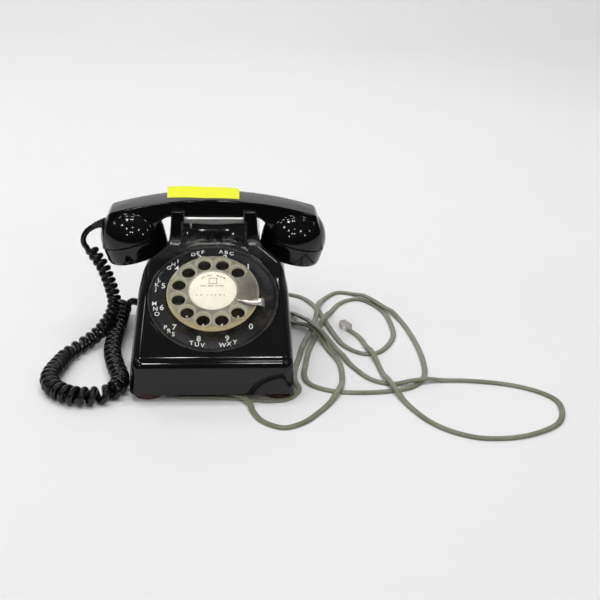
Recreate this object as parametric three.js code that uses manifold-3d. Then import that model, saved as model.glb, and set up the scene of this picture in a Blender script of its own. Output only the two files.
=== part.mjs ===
// Rotary desk telephone: moulded housing on a steel base plate, sloped dial, handset on a cradle,
// coiled handset cord and flat line cord, with the dial works, bell, network and switch hook inside.
// Millimetres, +Z up, +X to the right of someone facing the dial, front towards -Y.
// The origin is the middle of the flat boss pressed into the underside of the base plate.
import * as THREE from 'three';
import { mergeVertices } from 'three/addons/utils/BufferGeometryUtils.js';
import Module from 'manifold-3d';

const wasm = await Module();
wasm.setup();

// ---------------------------------------------------------------- driving dimensions
const DESK_Z = -5;            // plane that the feet stand on
const SHELL_Z = 1;            // lower edge of the housing
const SHELL_HALF_Y = 101.4;   // half depth of the housing
const SHELL_HALF_X = 65.4;    // half width of the housing at its lower edge
const SHELL_WALL = 2.8;
const SIDE_TAPER = 0.07;      // mm of half width lost per mm of height
const DIAL_Y = -45.5, DIAL_Z = 61, DIAL_TILT = 30;
const PLATE_R = 54.8;         // number plate
const WHEEL_R = 38.1, WHEEL_LOW = 6.3, WHEEL_TOP = 10.6;
const HOLE_R = 5.65, HOLE_PITCH_R = 29.1, HOLE_STEP = 30, HOLE_FIRST = 45;
const CARD_R = 19.45;
const SADDLE_Z = 108.4;       // cradle floor between front and rear horns
const LEDGE_Z = 107.6;        // top of the front wall between the horns
const HORN_TOP_Z = 116.9, HORN_IN_X = 25, HORN_OUT_X = 38;
const GRIP_Y = 34.5;          // middle of the handset, front to back
const CUP_X = 68.2, CUP_R = 28.3, CUP_TILT = 15, CUP_FACE_Z = 77, CAP_DEEP = 8.0; // the caps reach this far below the reference plane of the cups
const HANDSET_X = -1.2;
const PLUNGER_X = 30, PLUNGER_R = 4;
const FOOT_R = 12, FOOT_X = 52.5, FOOT_Y = 87;

// ---------------------------------------------------------------- materials
const mat = (color, roughness, metalness = 0, extra = {}) => new THREE.MeshStandardMaterial({ color, roughness, metalness, ...extra });
const M = {
  black: mat(0x0b0b0d, 0.22), blackDial: mat(0x101012, 0.3), clear: mat(0x9a958a, 0.15, 0, { transparent: true, opacity: 0.45 }),
  card: mat(0xe6e0cf, 0.85), steel: mat(0xa8abad, 0.35, 0.9), zinc: mat(0x8c9094, 0.45, 0.8), brass: mat(0xb08d4a, 0.35, 0.9),
  copper: mat(0x8a4a2a, 0.5, 0.4), rubber: mat(0x4a1c16, 0.75), cord: mat(0x0c0c0d, 0.3), flatCord: mat(0x8d8a74, 0.55),
  plug: mat(0xd6d2c4, 0.2, 0, { transparent: true, opacity: 0.6 }), grey: mat(0x565a5c, 0.6), chrome: mat(0xcfd2d4, 0.12, 1),
};

// ---------------------------------------------------------------- helpers
function strip(g) {
  let h = g.clone();
  for (const k of Object.keys(h.attributes)) if (k !== 'position') h.deleteAttribute(k);
  h = mergeVertices(h, 1e-4);
  // turn the skin the right way out
  const idx = Array.from(h.index.array), q = h.attributes.position.array; let v = 0;
  for (let i = 0; i < idx.length; i += 3) {
    const [a, b, c] = [idx[i] * 3, idx[i + 1] * 3, idx[i + 2] * 3];
    v += q[a] * (q[b + 1] * q[c + 2] - q[b + 2] * q[c + 1]) - q[a + 1] * (q[b] * q[c + 2] - q[b + 2] * q[c]) + q[a + 2] * (q[b] * q[c + 1] - q[b + 1] * q[c]);
  }
  if (v < 0) for (let i = 0; i < idx.length; i += 3) { const t = idx[i + 1]; idx[i + 1] = idx[i + 2]; idx[i + 2] = t; }
  const keep = []; // drop slivers that merging has closed up
  for (let i = 0; i < idx.length; i += 3) if (idx[i] !== idx[i + 1] && idx[i + 1] !== idx[i + 2] && idx[i] !== idx[i + 2]) keep.push(idx[i], idx[i + 1], idx[i + 2]);
  h.setIndex(keep);
  return h;
}
function solid(g) {
  const h = strip(g);
  return new wasm.Manifold(new wasm.Mesh({ numProp: 3, vertProperties: new Float32Array(h.attributes.position.array), triVerts: new Uint32Array(h.index.array) }));
}
function geo(m) {
  const k = m.getMesh();
  const g = new THREE.BufferGeometry();
  g.setAttribute('position', new THREE.BufferAttribute(new Float32Array(k.vertProperties), 3));
  g.setIndex(new THREE.BufferAttribute(new Uint32Array(k.triVerts), 1));
  g.computeVertexNormals();
  return g;
}
function at(g, x = 0, y = 0, z = 0, rx = 0, ry = 0, rz = 0) {
  const m = new THREE.Matrix4().makeRotationFromEuler(new THREE.Euler(rx, ry, rz, 'ZYX'));
  m.setPosition(x, y, z);
  return g.clone().applyMatrix4(m);
}
const D = Math.PI / 180;
const box = (x0, x1, y0, y1, z0, z1) => at(new THREE.BoxGeometry(x1 - x0, y1 - y0, z1 - z0), (x0 + x1) / 2, (y0 + y1) / 2, (z0 + z1) / 2);
const cylZ = (r, x, y, z0, z1, n = 24, r2 = r) => at(new THREE.CylinderGeometry(r2, r, z1 - z0, n), x, y, (z0 + z1) / 2, Math.PI / 2);
const cylX = (r, x0, x1, y, z, n = 20) => at(new THREE.CylinderGeometry(r, r, x1 - x0, n), (x0 + x1) / 2, y, z, 0, 0, Math.PI / 2);
const cylY = (r, x, y0, y1, z, n = 20) => at(new THREE.CylinderGeometry(r, r, y1 - y0, n), x, (y0 + y1) / 2, z);
// lathe about +Z: pairs of [radius, z], closed on itself or on the axis
const lathe = (pts, n = 32) => at(new THREE.LatheGeometry(pts.map(([r, z]) => new THREE.Vector2(Math.max(r, 0), z)), n), 0, 0, 0, Math.PI / 2);
function prism(pts, depth, holes = []) {
  const s = new THREE.Shape(pts.map(([x, y]) => new THREE.Vector2(x, y)));
  for (const h of holes) s.holes.push(new THREE.Path(h.map(([x, y]) => new THREE.Vector2(x, y))));
  return new THREE.ExtrudeGeometry(s, { depth, bevelEnabled: false, curveSegments: 6 });
}
function roundRect(hx, hy, r, n = 4) {
  const p = [];
  for (const [cx, cy, a0] of [[hx - r, hy - r, 0], [-hx + r, hy - r, 90], [-hx + r, -hy + r, 180], [hx - r, -hy + r, 270]])
    for (let i = 0; i <= n; i++) { const a = (a0 + 90 * i / n) * D; p.push([cx + r * Math.cos(a), cy + r * Math.sin(a)]); }
  return p;
}
function ring(r, n, x = 0, y = 0) { const p = []; for (let i = 0; i < n; i++) p.push([x + r * Math.cos(2 * Math.PI * i / n), y + r * Math.sin(2 * Math.PI * i / n)]); return p; }
// closed skin over a list of rings with the same number of points; ends are capped
function loft(rings) {
  const n = rings[0].length, pos = [], idx = [];
  for (const r of rings) for (const p of r) pos.push(...p);
  for (let k = 0; k < rings.length - 1; k++) for (let i = 0; i < n; i++) {
    const a = k * n + i, b = k * n + (i + 1) % n, c = a + n, d = b + n;
    idx.push(a, b, d, a, d, c);
  }
  const cap = (k, flip) => {
    const c = pos.length / 3; const m = [0, 0, 0];
    for (const p of rings[k]) for (let j = 0; j < 3; j++) m[j] += p[j] / n;
    pos.push(...m);
    for (let i = 0; i < n; i++) { const a = k * n + i, b = k * n + (i + 1) % n; idx.push(...(flip ? [c, b, a] : [c, a, b])); }
  };
  cap(0, true); cap(rings.length - 1, false);
  const g = new THREE.BufferGeometry();
  g.setAttribute('position', new THREE.Float32BufferAttribute(pos, 3));
  g.setIndex(idx);
  return g;
}
// a bar of given section swept along points; the section is [u, v] with v kept near +Z
function sweep(path, section, up = [0, 0, 1]) {
  const P = path.map(p => new THREE.Vector3(...p)), U = new THREE.Vector3(...up), rings = [];
  for (let i = 0; i < P.length; i++) {
    const t = new THREE.Vector3().subVectors(P[Math.min(i + 1, P.length - 1)], P[Math.max(i - 1, 0)]).normalize();
    const s = new THREE.Vector3().crossVectors(t, U); if (s.length() < 1e-3) s.set(1, 0, 0); s.normalize();
    const w = new THREE.Vector3().crossVectors(s, t).normalize();
    rings.push(section.map(([a, b]) => [P[i].x + s.x * a + w.x * b, P[i].y + s.y * a + w.y * b, P[i].z + s.z * a + w.z * b]));
  }
  return loft(rings);
}
// round bar with frames carried along the path, for paths that turn upright
function tube(path, r, n = 8) {
  const P = path.map(p => new THREE.Vector3(...p)), rings = []; let s = null;
  for (let i = 0; i < P.length; i++) {
    const t = new THREE.Vector3().subVectors(P[Math.min(i + 1, P.length - 1)], P[Math.max(i - 1, 0)]).normalize();
    if (!s) { s = new THREE.Vector3().crossVectors(t, Math.abs(t.z) > 0.9 ? new THREE.Vector3(0, 1, 0) : new THREE.Vector3(0, 0, 1)); }
    s.addScaledVector(t, -s.dot(t)).normalize();
    const w = new THREE.Vector3().crossVectors(s, t);
    rings.push(Array.from({ length: n }, (_, k) => { const a = 2 * Math.PI * k / n; const q = P[i].clone().addScaledVector(s, r * Math.cos(a)).addScaledVector(w, r * Math.sin(a)); return [q.x, q.y, q.z]; }));
  }
  return loft(rings);
}
const spline = (pts, n) => new THREE.CatmullRomCurve3(pts.map(p => new THREE.Vector3(...p)), false, 'centripetal').getSpacedPoints(n).map(v => [v.x, v.y, v.z]);
const U = (...g) => g.map(x => x instanceof THREE.BufferGeometry ? solid(x) : x).reduce((a, b) => a.add(b));
const S = (a, ...g) => g.reduce((m, x) => m.subtract(x instanceof THREE.BufferGeometry ? solid(x) : x), a instanceof THREE.BufferGeometry ? solid(a) : a);

const root = new THREE.Group();
const dialFace = new THREE.Group();      // local z is the dial's axis, local y runs up the slope
dialFace.position.set(0, DIAL_Y, DIAL_Z); dialFace.rotation.x = DIAL_TILT * D;
const handset = new THREE.Group(); handset.position.x = HANDSET_X;
root.add(dialFace, handset);
function put(name, g, m, group = root) {
  const q = g instanceof THREE.BufferGeometry ? strip(g) : geo(g);
  q.computeVertexNormals();
  const mesh = new THREE.Mesh(q, m); mesh.name = name; group.add(mesh);
}

// ---------------------------------------------------------------- housing
// upright slices across the width at stations from front to back: y, top height, shoulder radius
const STATIONS = [
  [-101.4, 20, 3], [-99.8, 26, 5], [-96.6, 30.6, 6], [-60, 52.6, 7], [-22, 74.6, 8],
  [-8, 76.5, 10], [4, 72.4, 12.4], [64, 72.4, 12.4], [76, 69.6, 13], [88, 57, 13], [97, 31, 8], [101.4, 16, 4],
];
function slice(y, zt, r, grow) {
  const hw = z => SHELL_HALF_X + grow - SIDE_TAPER * (z - SHELL_Z) - (Math.abs(y) > 96 ? (Math.abs(y) - 96) * 0.55 : 0);
  const z0 = grow < 0 ? SHELL_Z - 3 : SHELL_Z, top = zt + grow, rr = Math.max(r + grow * 0.3, 1.5), half = [];
  half.push([hw(z0), z0], [hw((z0 + top - rr) / 2), (z0 + top - rr) / 2]);
  for (let i = 0; i <= 4; i++) { const a = i * 22.5 * D; half.push([hw(top - rr) - rr + rr * Math.cos(a), top - rr + rr * Math.sin(a)]); }
  const all = half.map(([x, z]) => [x, y, z]);
  for (const [x, z] of half.slice().reverse()) all.push([-x, y, z]);
  return all;
}
const skin = loft(STATIONS.map(([y, z, r]) => slice(y, z, r, 0)));
const endY = SHELL_HALF_Y - SHELL_WALL;
const core = loft([[-endY, 27.5, 4], ...STATIONS.slice(2, -1), [endY, 26, 6]].map(([y, z, r]) => slice(y, z, r, -SHELL_WALL)));
const CRADLE = [7, 65];
// a side profile in y,z pushed out along x
function slab(prof, x0, x1) {
  const m = new THREE.Matrix4().set(0, 0, 1, x0, 1, 0, 0, 0, 0, 1, 0, 0, 0, 0, 0, 1);
  return prism(prof, x1 - x0).clone().applyMatrix4(m);
}
const cradleBlock = slab([[-20, 66], [CRADLE[1], 66], [CRADLE[1], SADDLE_Z], [CRADLE[0], SADDLE_Z], [CRADLE[0], 91.3], [-20, 75.7]], -38.5, 38.5);
const cradleCore = slab([[-12, 60], [58.5, 60], [58.5, 82.2], [50, 86.8], [22, 102], [19.6, 100], [16.4, 94.2], [-12, 77.6]], -35.6, 35.6);
const railCore = s => slab([[24, 84], [58, 84], [58, 104.6], [24, 104.6]], Math.min(s * 27.6, s * 35.6), Math.max(s * 27.6, s * 35.6)); // hollow under each saddle rail
function horn(x0, x1, front) {
  const prof = front ? [[CRADLE[0], SADDLE_Z - 3], [17.6, SADDLE_Z - 3], [17.6, SADDLE_Z + 1.5], [16.6, HORN_TOP_Z], [CRADLE[0], HORN_TOP_Z]]
    : [[CRADLE[1], SADDLE_Z - 3], [CRADLE[1], HORN_TOP_Z], [53.0, HORN_TOP_Z], [51.8, SADDLE_Z + 1.5], [51.8, SADDLE_Z - 3]];
  return slab(prof, x0, x1);
}
const notch = (x0, x1, y0, y1, z1) => box(x0, x1, y0, y1, SHELL_Z - 4, z1);
let housing = U(skin, cradleBlock, horn(-HORN_OUT_X, -HORN_IN_X, true), horn(HORN_IN_X, HORN_OUT_X, true), horn(-HORN_OUT_X, -HORN_IN_X, false), horn(HORN_IN_X, HORN_OUT_X, false));
const dialHole = at(new THREE.CylinderGeometry(PLATE_R + 0.5, PLATE_R + 0.5, 40, 36), 0, DIAL_Y - Math.sin(DIAL_TILT * D) * 10, DIAL_Z + Math.cos(DIAL_TILT * D) * 10, (90 + DIAL_TILT) * D);
const throatHole = at(new THREE.CylinderGeometry(50, 50, 60, 36), 0, DIAL_Y, DIAL_Z, (90 + DIAL_TILT) * D);
housing = S(housing, core, cradleCore, railCore(-1), railCore(1),
  solid(dialHole).intersect(solid(at(new THREE.BoxGeometry(160, 160, 60), 0, DIAL_Y - Math.sin(DIAL_TILT * D) * 28.4, DIAL_Z + Math.cos(DIAL_TILT * D) * 28.4, DIAL_TILT * D))),
  throatHole,
  cylZ(PLUNGER_R + 0.5, -PLUNGER_X, GRIP_Y, 90, 112, 14), cylZ(PLUNGER_R + 0.5, PLUNGER_X, GRIP_Y, 90, 112, 14),
  slab([[0, 130], [0, 92.5], [8, 92.5], [12.5, 97], [15.5, 103], [18.5, LEDGE_Z], [24, LEDGE_Z], [70, LEDGE_Z - 26], [70, 130]], -25, 25),
    notch(-70, -58, 62.2, 71.8, 8.6), notch(26, 38, 90, 106, 7.4));
put('housing_shell', housing, M.black);

// ---------------------------------------------------------------- base plate, feet, screws
const plateZ0 = 1.6, plateZ1 = 3.0;
let base = U(at(prism(roundRect(61.6, 97.2, 12, 4), plateZ1 - plateZ0), 0, 0, plateZ0), cylZ(20, 0, 0, 0, plateZ0 + 0.4, 32));
const SCREWS = [[0, -88], [0, 88]];
for (const sx of [-1, 1]) for (const sy of [-1, 1]) base = S(base, cylZ(3.4, sx * FOOT_X, sy * FOOT_Y, -1, 6, 12));
for (const [x, y] of SCREWS) base = S(base, cylZ(2.5, x, y, -1, 6, 12));
base = S(base, box(-64, -59, 62.6, 71.4, 0, 5), box(27.4, 36.6, 94, 100, 0, 5), box(50, 57, -4, 8, 0, 5)); // cord notches and the slot under the loudness wheel
put('base_plate', base, M.steel);
const footNames = { '-1,-1': 'foot_front_left', '1,-1': 'foot_front_right', '-1,1': 'foot_rear_left', '1,1': 'foot_rear_right' };
const foot = () => lathe([[0, DESK_Z], [FOOT_R - 1.2, DESK_Z], [FOOT_R, DESK_Z + 1.2], [FOOT_R - 0.5, 0.7], [8.4, 0.7], [8.4, 1.3], [3.0, 1.3], [3.0, 3.3], [4.2, 3.3], [4.2, 4.6], [0, 4.6]], 12);
for (const k of Object.keys(footNames)) { const [sx, sy] = k.split(',').map(Number); put(footNames[k], at(foot(), sx * FOOT_X, sy * FOOT_Y, 0), M.rubber); }
const screw = (x, y) => lathe([[0, -0.6], [3.6, -0.6], [3.6, 1.3], [2.2, 1.3], [2.2, 14], [0, 14]], 12).clone().translate(x, y, 0);
put('housing_screw_front', screw(...SCREWS[0]), M.zinc);
put('housing_screw_rear', screw(...SCREWS[1]), M.zinc);

// ---------------------------------------------------------------- dial: fixed pieces, in the dial's own frame
put('number_plate', S(lathe([[11, -2.4], [46, -2.4], [46, -3], [49.6, -3], [49.6, -1.2], [PLATE_R, -1.2], [PLATE_R, 0.3], [53.2, 1.1], [51.2, 0.6], [47, 1.6], [40, 1.8], [36, 0.6], [11, 0.6], [11, -2.4]], 36)), M.blackDial, dialFace);
put('dial_frame', S(cylZ(44, 0, 0, -9.2, -7.4, 32), cylZ(4.4, 0, 0, -20, 0, 16)), M.zinc, dialFace);
// upright plate beside the wheel, bent over into a tapering arm that ends in a point between the first hole and the last
put('finger_stop', U(box(40.9, 42.1, -17.4, -9.4, 1.9, 12.2), at(prism([[42.1, -17.4], [42.1, -9.4], [38.9, -9.4], [37.2, -10.6], [34.9, -11.2], [30.9, -11.5], [25.7, -11.1], [20.4, -9.8], [20.2, -10.6], [25.7, -13.4], [30.8, -15.3], [33.1, -16.0], [37.1, -16.8], [39.4, -17.4]], 1.2), 0, 0, 11.2)), M.chrome, dialFace);
put('governor_cup', S(at(new THREE.CylinderGeometry(11, 11, 12, 20), 26, 24, -21.5), at(new THREE.CylinderGeometry(9.6, 9.6, 12, 20), 26, 26, -21.5), at(new THREE.CylinderGeometry(2.4, 2.4, 40, 10), 26, 24, -21.5)), M.zinc, dialFace);
put('pulse_contact_springs', U(box(-34, -20, -30, -22, -20, -9.6), box(-33, -31.6, -22.5, 2, -19, -11), box(-29.5, -28.1, -22.5, 4, -19, -11), box(-26, -24.6, -22.5, 1, -19, -11)), M.brass, dialFace);
{ // return spring: a flat spiral on the shaft
  const pts = []; for (let i = 0; i <= 26; i++) { const a = i / 26 * 2.6 * 2 * Math.PI, r = 5.2 + 6.6 * i / 26; pts.push([r * Math.cos(a), r * Math.sin(a), -24.2]); }
  put('dial_return_spring', sweep(pts, [[-0.45, -2.2], [0.45, -2.2], [0.45, 2.2], [-0.45, 2.2]]), M.steel, dialFace);
}
// legs that carry the dial frame from the base plate, in the telephone's frame
const leg = s => {
  const W = (x, y, z) => [x, DIAL_Y + y * Math.cos(DIAL_TILT * D) - z * Math.sin(DIAL_TILT * D), DIAL_Z + y * Math.sin(DIAL_TILT * D) + z * Math.cos(DIAL_TILT * D)];
  const a = W(s * 49.2, -6, -6), b = W(s * 49.2, 10, -6);
  const upright = loft([[[s * 48.2, -68, 3.3], [s * 50.0, -68, 3.3], [s * 50.0, -52, 3.3], [s * 48.2, -52, 3.3]], [[s * 48.2, a[1], a[2]], [s * 50.0, a[1], a[2]], [s * 50.0, b[1], b[2]], [s * 48.2, b[1], b[2]]]]);
  return U(upright, box(Math.min(s * 48.2, s * 57), Math.max(s * 48.2, s * 57), -67, -53, 3.3, 5.0), at(new THREE.BoxGeometry(6, 14, 1.6), s * 46.8, W(0, 2, -6.2)[1], W(0, 2, -6.2)[2], DIAL_TILT * D));
};
put('dial_bracket_left', leg(-1), M.steel);
put('dial_bracket_right', leg(1), M.steel);

// ---------------------------------------------------------------- dial: turning pieces
let wheel = lathe([[3.4, WHEEL_LOW - 1.2], [9, WHEEL_LOW - 1.2], [9, WHEEL_LOW], [36, WHEEL_LOW], [WHEEL_R, WHEEL_LOW + 0.8], [WHEEL_R, 8.0], [37.0, 8.9], [33.8, WHEEL_TOP], [21.2, WHEEL_TOP], [20.6, WHEEL_TOP - 0.8], [3.4, WHEEL_TOP - 0.8], [3.4, WHEEL_LOW - 1.2]], 30);
wheel = solid(wheel);
for (let i = 0; i < 10; i++) { const a = (HOLE_FIRST + HOLE_STEP * i) * D; wheel = S(wheel, cylZ(HOLE_R, HOLE_PITCH_R * Math.cos(a), HOLE_PITCH_R * Math.sin(a), 0, 12, 14)); }
put('finger_wheel', wheel, M.clear, dialFace);
put('number_card', cylZ(CARD_R, 0, 0, WHEEL_TOP + 0.05, WHEEL_TOP + 0.35, 24), M.card, dialFace);
put('card_retainer', lathe([[0, 11.25], [19.9, 11.25], [20.6, 10.9], [21.0, 11.25], [20.6, 12.1], [0, 12.5]], 24), M.clear, dialFace);
put('dial_shaft', cylZ(3, 0, 0, -28, 7.6, 12), M.steel, dialFace);
const gearPts = (n, r0, r1) => { const p = []; for (let i = 0; i < n; i++) for (const [f, r] of [[-0.3, r0], [-0.14, r1], [0.14, r1], [0.3, r0]]) { const a = (i + f) / n * 2 * Math.PI; p.push([r * Math.cos(a), r * Math.sin(a)]); } return p; };
put('main_gear', at(prism(gearPts(30, 20.6, 22.4), 2, [ring(3.4, 12).reverse()]), 0, 0, -13.2), M.brass, dialFace);
put('idler_gear', U(at(prism(gearPts(9, 4.2, 5.4), 2.4), 28.4, 0, -13.4), cylZ(1.6, 28.4, 0, -18.6, -9.5, 12), at(prism(gearPts(20, 9.2, 10.6), 1.6), 28.4, 0, -18.4)), M.brass, dialFace);
put('governor_rotor', U(at(new THREE.CylinderGeometry(1.5, 1.5, 40, 10), 26, 16, -21.5), at(new THREE.CylinderGeometry(7.6, 7.6, 3, 6), 26, 26, -21.5)), M.brass, dialFace);

// ---------------------------------------------------------------- bell
const RING_Y = 0;
put('ringer_frame', S(U(box(-10, 14, RING_Y - 19, RING_Y + 19, 3.3, 5.1), box(-10, 14, RING_Y - 19, RING_Y - 17.4, 3.3, 24), box(-10, 14, RING_Y + 17.4, RING_Y + 19, 3.3, 24)), cylZ(2, -4, RING_Y, 0, 10, 12)), M.steel);
put('ringer_coil', U(cylY(8.6, -1, RING_Y - 15, RING_Y + 15, 15.4, 14), cylY(9.6, -1, RING_Y - 17, RING_Y - 14.8, 15.4, 14), cylY(9.6, -1, RING_Y + 14.8, RING_Y + 17, 15.4, 14)), M.copper);
const gong = (x, y) => S(U(lathe([[3.4, 22.4], [12, 21.8], [20, 17.8], [23.8, 9.2], [22.4, 9.2], [18.8, 16.8], [11.4, 20.4], [3.4, 21.0], [3.4, 22.4]], 20))).translate([x, y, 0]);
put('gong_front', gong(37, RING_Y - 26.6), M.brass);
put('gong_rear', gong(37, RING_Y + 26.6), M.brass);
const post = (x, y) => U(cylZ(3.0, x, y, 3.3, 24.6, 12), cylZ(6, x, y, 3.3, 5.2, 12), cylZ(5, x, y, 22.7, 25, 12));
put('gong_post_front', post(37, RING_Y - 26.6), M.zinc);
put('gong_post_rear', post(37, RING_Y + 26.6), M.zinc);
put('clapper', U(box(15.2, 17.6, RING_Y - 6, RING_Y + 6, 11, 18), box(17, 37, RING_Y - 0.5, RING_Y + 0.5, 12.4, 14), at(new THREE.IcosahedronGeometry(1.7, 1), 37, RING_Y, 13.2)), M.steel);
put('loudness_wheel', U(lathe([[0, 3.4], [9.6, 3.4], [9.6, 6.0], [0, 6.0]], 20)).translate([49.5, 2, 0]), M.grey);

// ---------------------------------------------------------------- network and switch hook
put('network_block', box(-56, -15, -16, 46, 3.3, 35), M.grey);
{ let t = solid(box(-54, -17, -14, 44, 35.3, 37)); for (let i = 0; i < 5; i++) for (const x of [-48, -23]) t = t.add(solid(cylZ(2.6, x, -8 + 11.5 * i, 36.5, 39.4, 8))); put('network_terminals', t, M.brass); }
const HOOK_Y = 52, HOOK_Z = 78;
put('hookswitch_bracket', U(box(-22.6, 22.6, 48, 57, 3.3, 5.1), box(-22.6, 22.6, 55.4, 57, 3.3, 74), box(-22.6, -21, 47, 57, 64, 82), box(21, 22.6, 47, 57, 64, 82)).subtract(solid(cylX(1.8, -30, 30, HOOK_Y, HOOK_Z, 12))), M.steel);
put('hook_lever', U(cylX(1.4, -24, 24, HOOK_Y, HOOK_Z, 12), box(-20.4, 20.4, 44, 53, 79.0, 81.2), box(-20.4, 20.4, 50.6, 53.4, 77, 80), box(-34.6, 34.6, 41, 45, 79.0, 81.2), box(-34.6, -28.4, 32, 45, 79.0, 81.2), box(28.4, 34.6, 32, 45, 79.0, 81.2), box(-4, 4, 50.6, 52.2, 69, 80)), M.steel);
put('hookswitch_contact_stack', U(box(-10, 10, 38, 55.1, 44, 51), box(-8, 8, 40, 41, 50, 70), box(-8, 8, 44, 45, 50, 70), box(-8, 8, 47.4, 48.4, 50, 68.8)), M.brass);
{ const pts = []; for (let i = 0; i <= 28; i++) { const a = i / 28 * 3.5 * 2 * Math.PI; pts.push([14 + 2.4 * Math.cos(a), 49 + 2.4 * Math.sin(a), 64.6 + 11.4 * i / 28]); } put('hook_return_spring', tube(pts, 0.45, 5), M.steel); }
const plunger = s => lathe([[0, 81.7], [1.8, 81.7], [1.8, 83.4], [5.1, 83.4], [5.1, 85.4], [PLUNGER_R, 85.4], [PLUNGER_R, 107.2], [PLUNGER_R - 1, 108.2], [0, 108.2]], 14).clone().translate(s * PLUNGER_X, GRIP_Y, 0);
put('plunger_left', plunger(-1), M.clear);
put('plunger_right', plunger(1), M.clear);

// ---------------------------------------------------------------- handset, about its own middle
// grip: slices across the length, each a rounded block between an arched top and an arched underside
const gripTop = x => 123.6 - 14.2 * (x / 92) ** 2, gripBot = x => 109.7 - 0.7 * (x / 40) ** 4;
function gripSlice(x) {
  const t = gripTop(x) , b = Math.min(gripBot(x), t - 9), hy = 16.4, p = [];
  for (const [cy, cz, a0, r] of [[hy - 4, t - 4, 0, 4], [-hy + 4, t - 4, 90, 4], [-hy + 3, b + 3, 180, 3], [hy - 3, b + 3, 270, 3]])
    for (let i = 0; i <= 2; i++) { const a = (a0 + 45 * i) * D; p.push([x, GRIP_Y + cy + r * Math.cos(a), cz + r * Math.sin(a)]); }
  return p;
}
const GRIP_X = [-76, -62, -50, -40, -20, 0, 20, 40, 50, 62, 76];
const grip = loft(GRIP_X.map(gripSlice));
const cupFrame = s => { const m = new THREE.Matrix4().makeRotationY(-s * -CUP_TILT * D); m.setPosition(s * CUP_X, GRIP_Y, CUP_FACE_Z); return m; };
const inCup = (g, s) => g.clone().applyMatrix4(cupFrame(s));
const cupOuter = lathe([[0, 8.6], [CUP_R, 8.6], [27.8, 18], [24.6, 28], [18, 33.6], [0, 35.6]], 26);
const cupInner = lathe([[0, 4], [23.6, 4], [23.6, 18], [20, 26.4], [12, 30.6], [0, 31.4]], 20);
const capGeo = S(lathe([[0, -CAP_DEEP], [24, 0.1 - CAP_DEEP], [26.6, 1.6 - CAP_DEEP], [27.4, 4 - CAP_DEEP], [CUP_R, 6], [CUP_R, 8.3], [25.6, 8.3], [24.4, 3.4 - CAP_DEEP], [0, 3.2 - CAP_DEEP]], 20),
  ...[0, 90, 180, 270].map(a => cylZ(1.3, 8 * Math.cos(a * D), 8 * Math.sin(a * D), -2 - CAP_DEEP, 6 - CAP_DEEP, 6)), cylZ(1.3, 0, 0, -2 - CAP_DEEP, 6 - CAP_DEEP, 6));
const low = g => g.clone().translate(0, 0, -CAP_DEEP);
const gripCore = tube([[-64, GRIP_Y, 98], [-50, GRIP_Y, 112.2], [-26, GRIP_Y, 115.4], [0, GRIP_Y, 116.4], [26, GRIP_Y, 115.4], [50, GRIP_Y, 112.2], [64, GRIP_Y, 98]], 2.8, 6); // wire passage
let shellH = U(grip, inCup(cupOuter, -1), inCup(cupOuter, 1));
const BUSH = [-93.8, GRIP_Y, 99.2, 0, -107.5 * D, 0]; // the cord leaves the transmitter cup sloping down
shellH = S(shellH, inCup(cupInner, -1), inCup(cupInner, 1), gripCore, at(cylZ(2.9, 0, 0, -5, 12, 12), ...BUSH));
put('handset_handle', shellH, M.black, handset);
put('transmitter_cap', geo(capGeo).applyMatrix4(cupFrame(-1)), M.black, handset);
put('receiver_cap', geo(capGeo).applyMatrix4(cupFrame(1)), M.black, handset);
put('transmitter_capsule', inCup(low(lathe([[0, 3.7], [20, 3.7], [21.4, 5], [21.4, 13], [14, 16], [0, 16]], 18)), -1), M.steel, handset);
put('receiver_capsule', inCup(low(lathe([[0, 3.7], [20, 3.7], [21.4, 5], [21.4, 11], [13, 20], [0, 20]], 18)), 1), M.steel, handset);
put('transmitter_contact_cup', inCup(low(lathe([[0, 16.4], [14, 16.4], [18, 17.4], [18, 19], [0, 19]], 16)), -1), M.grey, handset);
put('handset_cord_bushing', at(lathe([[0, 0], [2.5, 0], [2.5, 7], [3.6, 7.4], [3.2, 12.6], [0, 12.6]], 10), ...BUSH), M.cord, handset);

// ---------------------------------------------------------------- cords
const coilPath = spline([[-112.8, 34.4, 92.2], [-115.6, 34, 84], [-113.4, 33.4, 77.5], [-108.2, 32.6, 72.5], [-103.6, 31.8, 66], [-98.5, 31, 57], [-94.5, 31, 45], [-91.5, 31, 32], [-90.8, 30, 24], [-92.4, 24, 17.5], [-96.6, 16, 11.4], [-102.5, 7, 6.4], [-110, -3, 2.6], [-119, -18.5, 2.4], [-126.5, -35, 2.4], [-130, -49, 2.4], [-133.2, -64, 2.4], [-133, -79, 2.4], [-127, -92, 2.4], [-118.5, -100.5, 2.4], [-108.3, -105.5, 2.4], [-97, -105.8, 2.4], [-86.5, -102.5, 2.4], [-79, -94, 2.4], [-76, -78, 2.4], [-82.5, -52, 2.4], [-88, -25, 2.4], [-88.2, 7, 2.4], [-87, 34, 2.4], [-86, 48, 3], [-84.5, 57, 4.6], [-80, 64, 6], [-74, 66.8, 6], [-69.4, 67, 5]], 60);
put('handset_cord', tube(coilPath, 4.8, 7), M.cord);
put('handset_cord_anchor', U(box(-65.0, -57, 63, 71, 3.4, 6.6), box(-67.4, -65.0, 64.6, 69.4, 3.4, 6.6)), M.cord);
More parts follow.
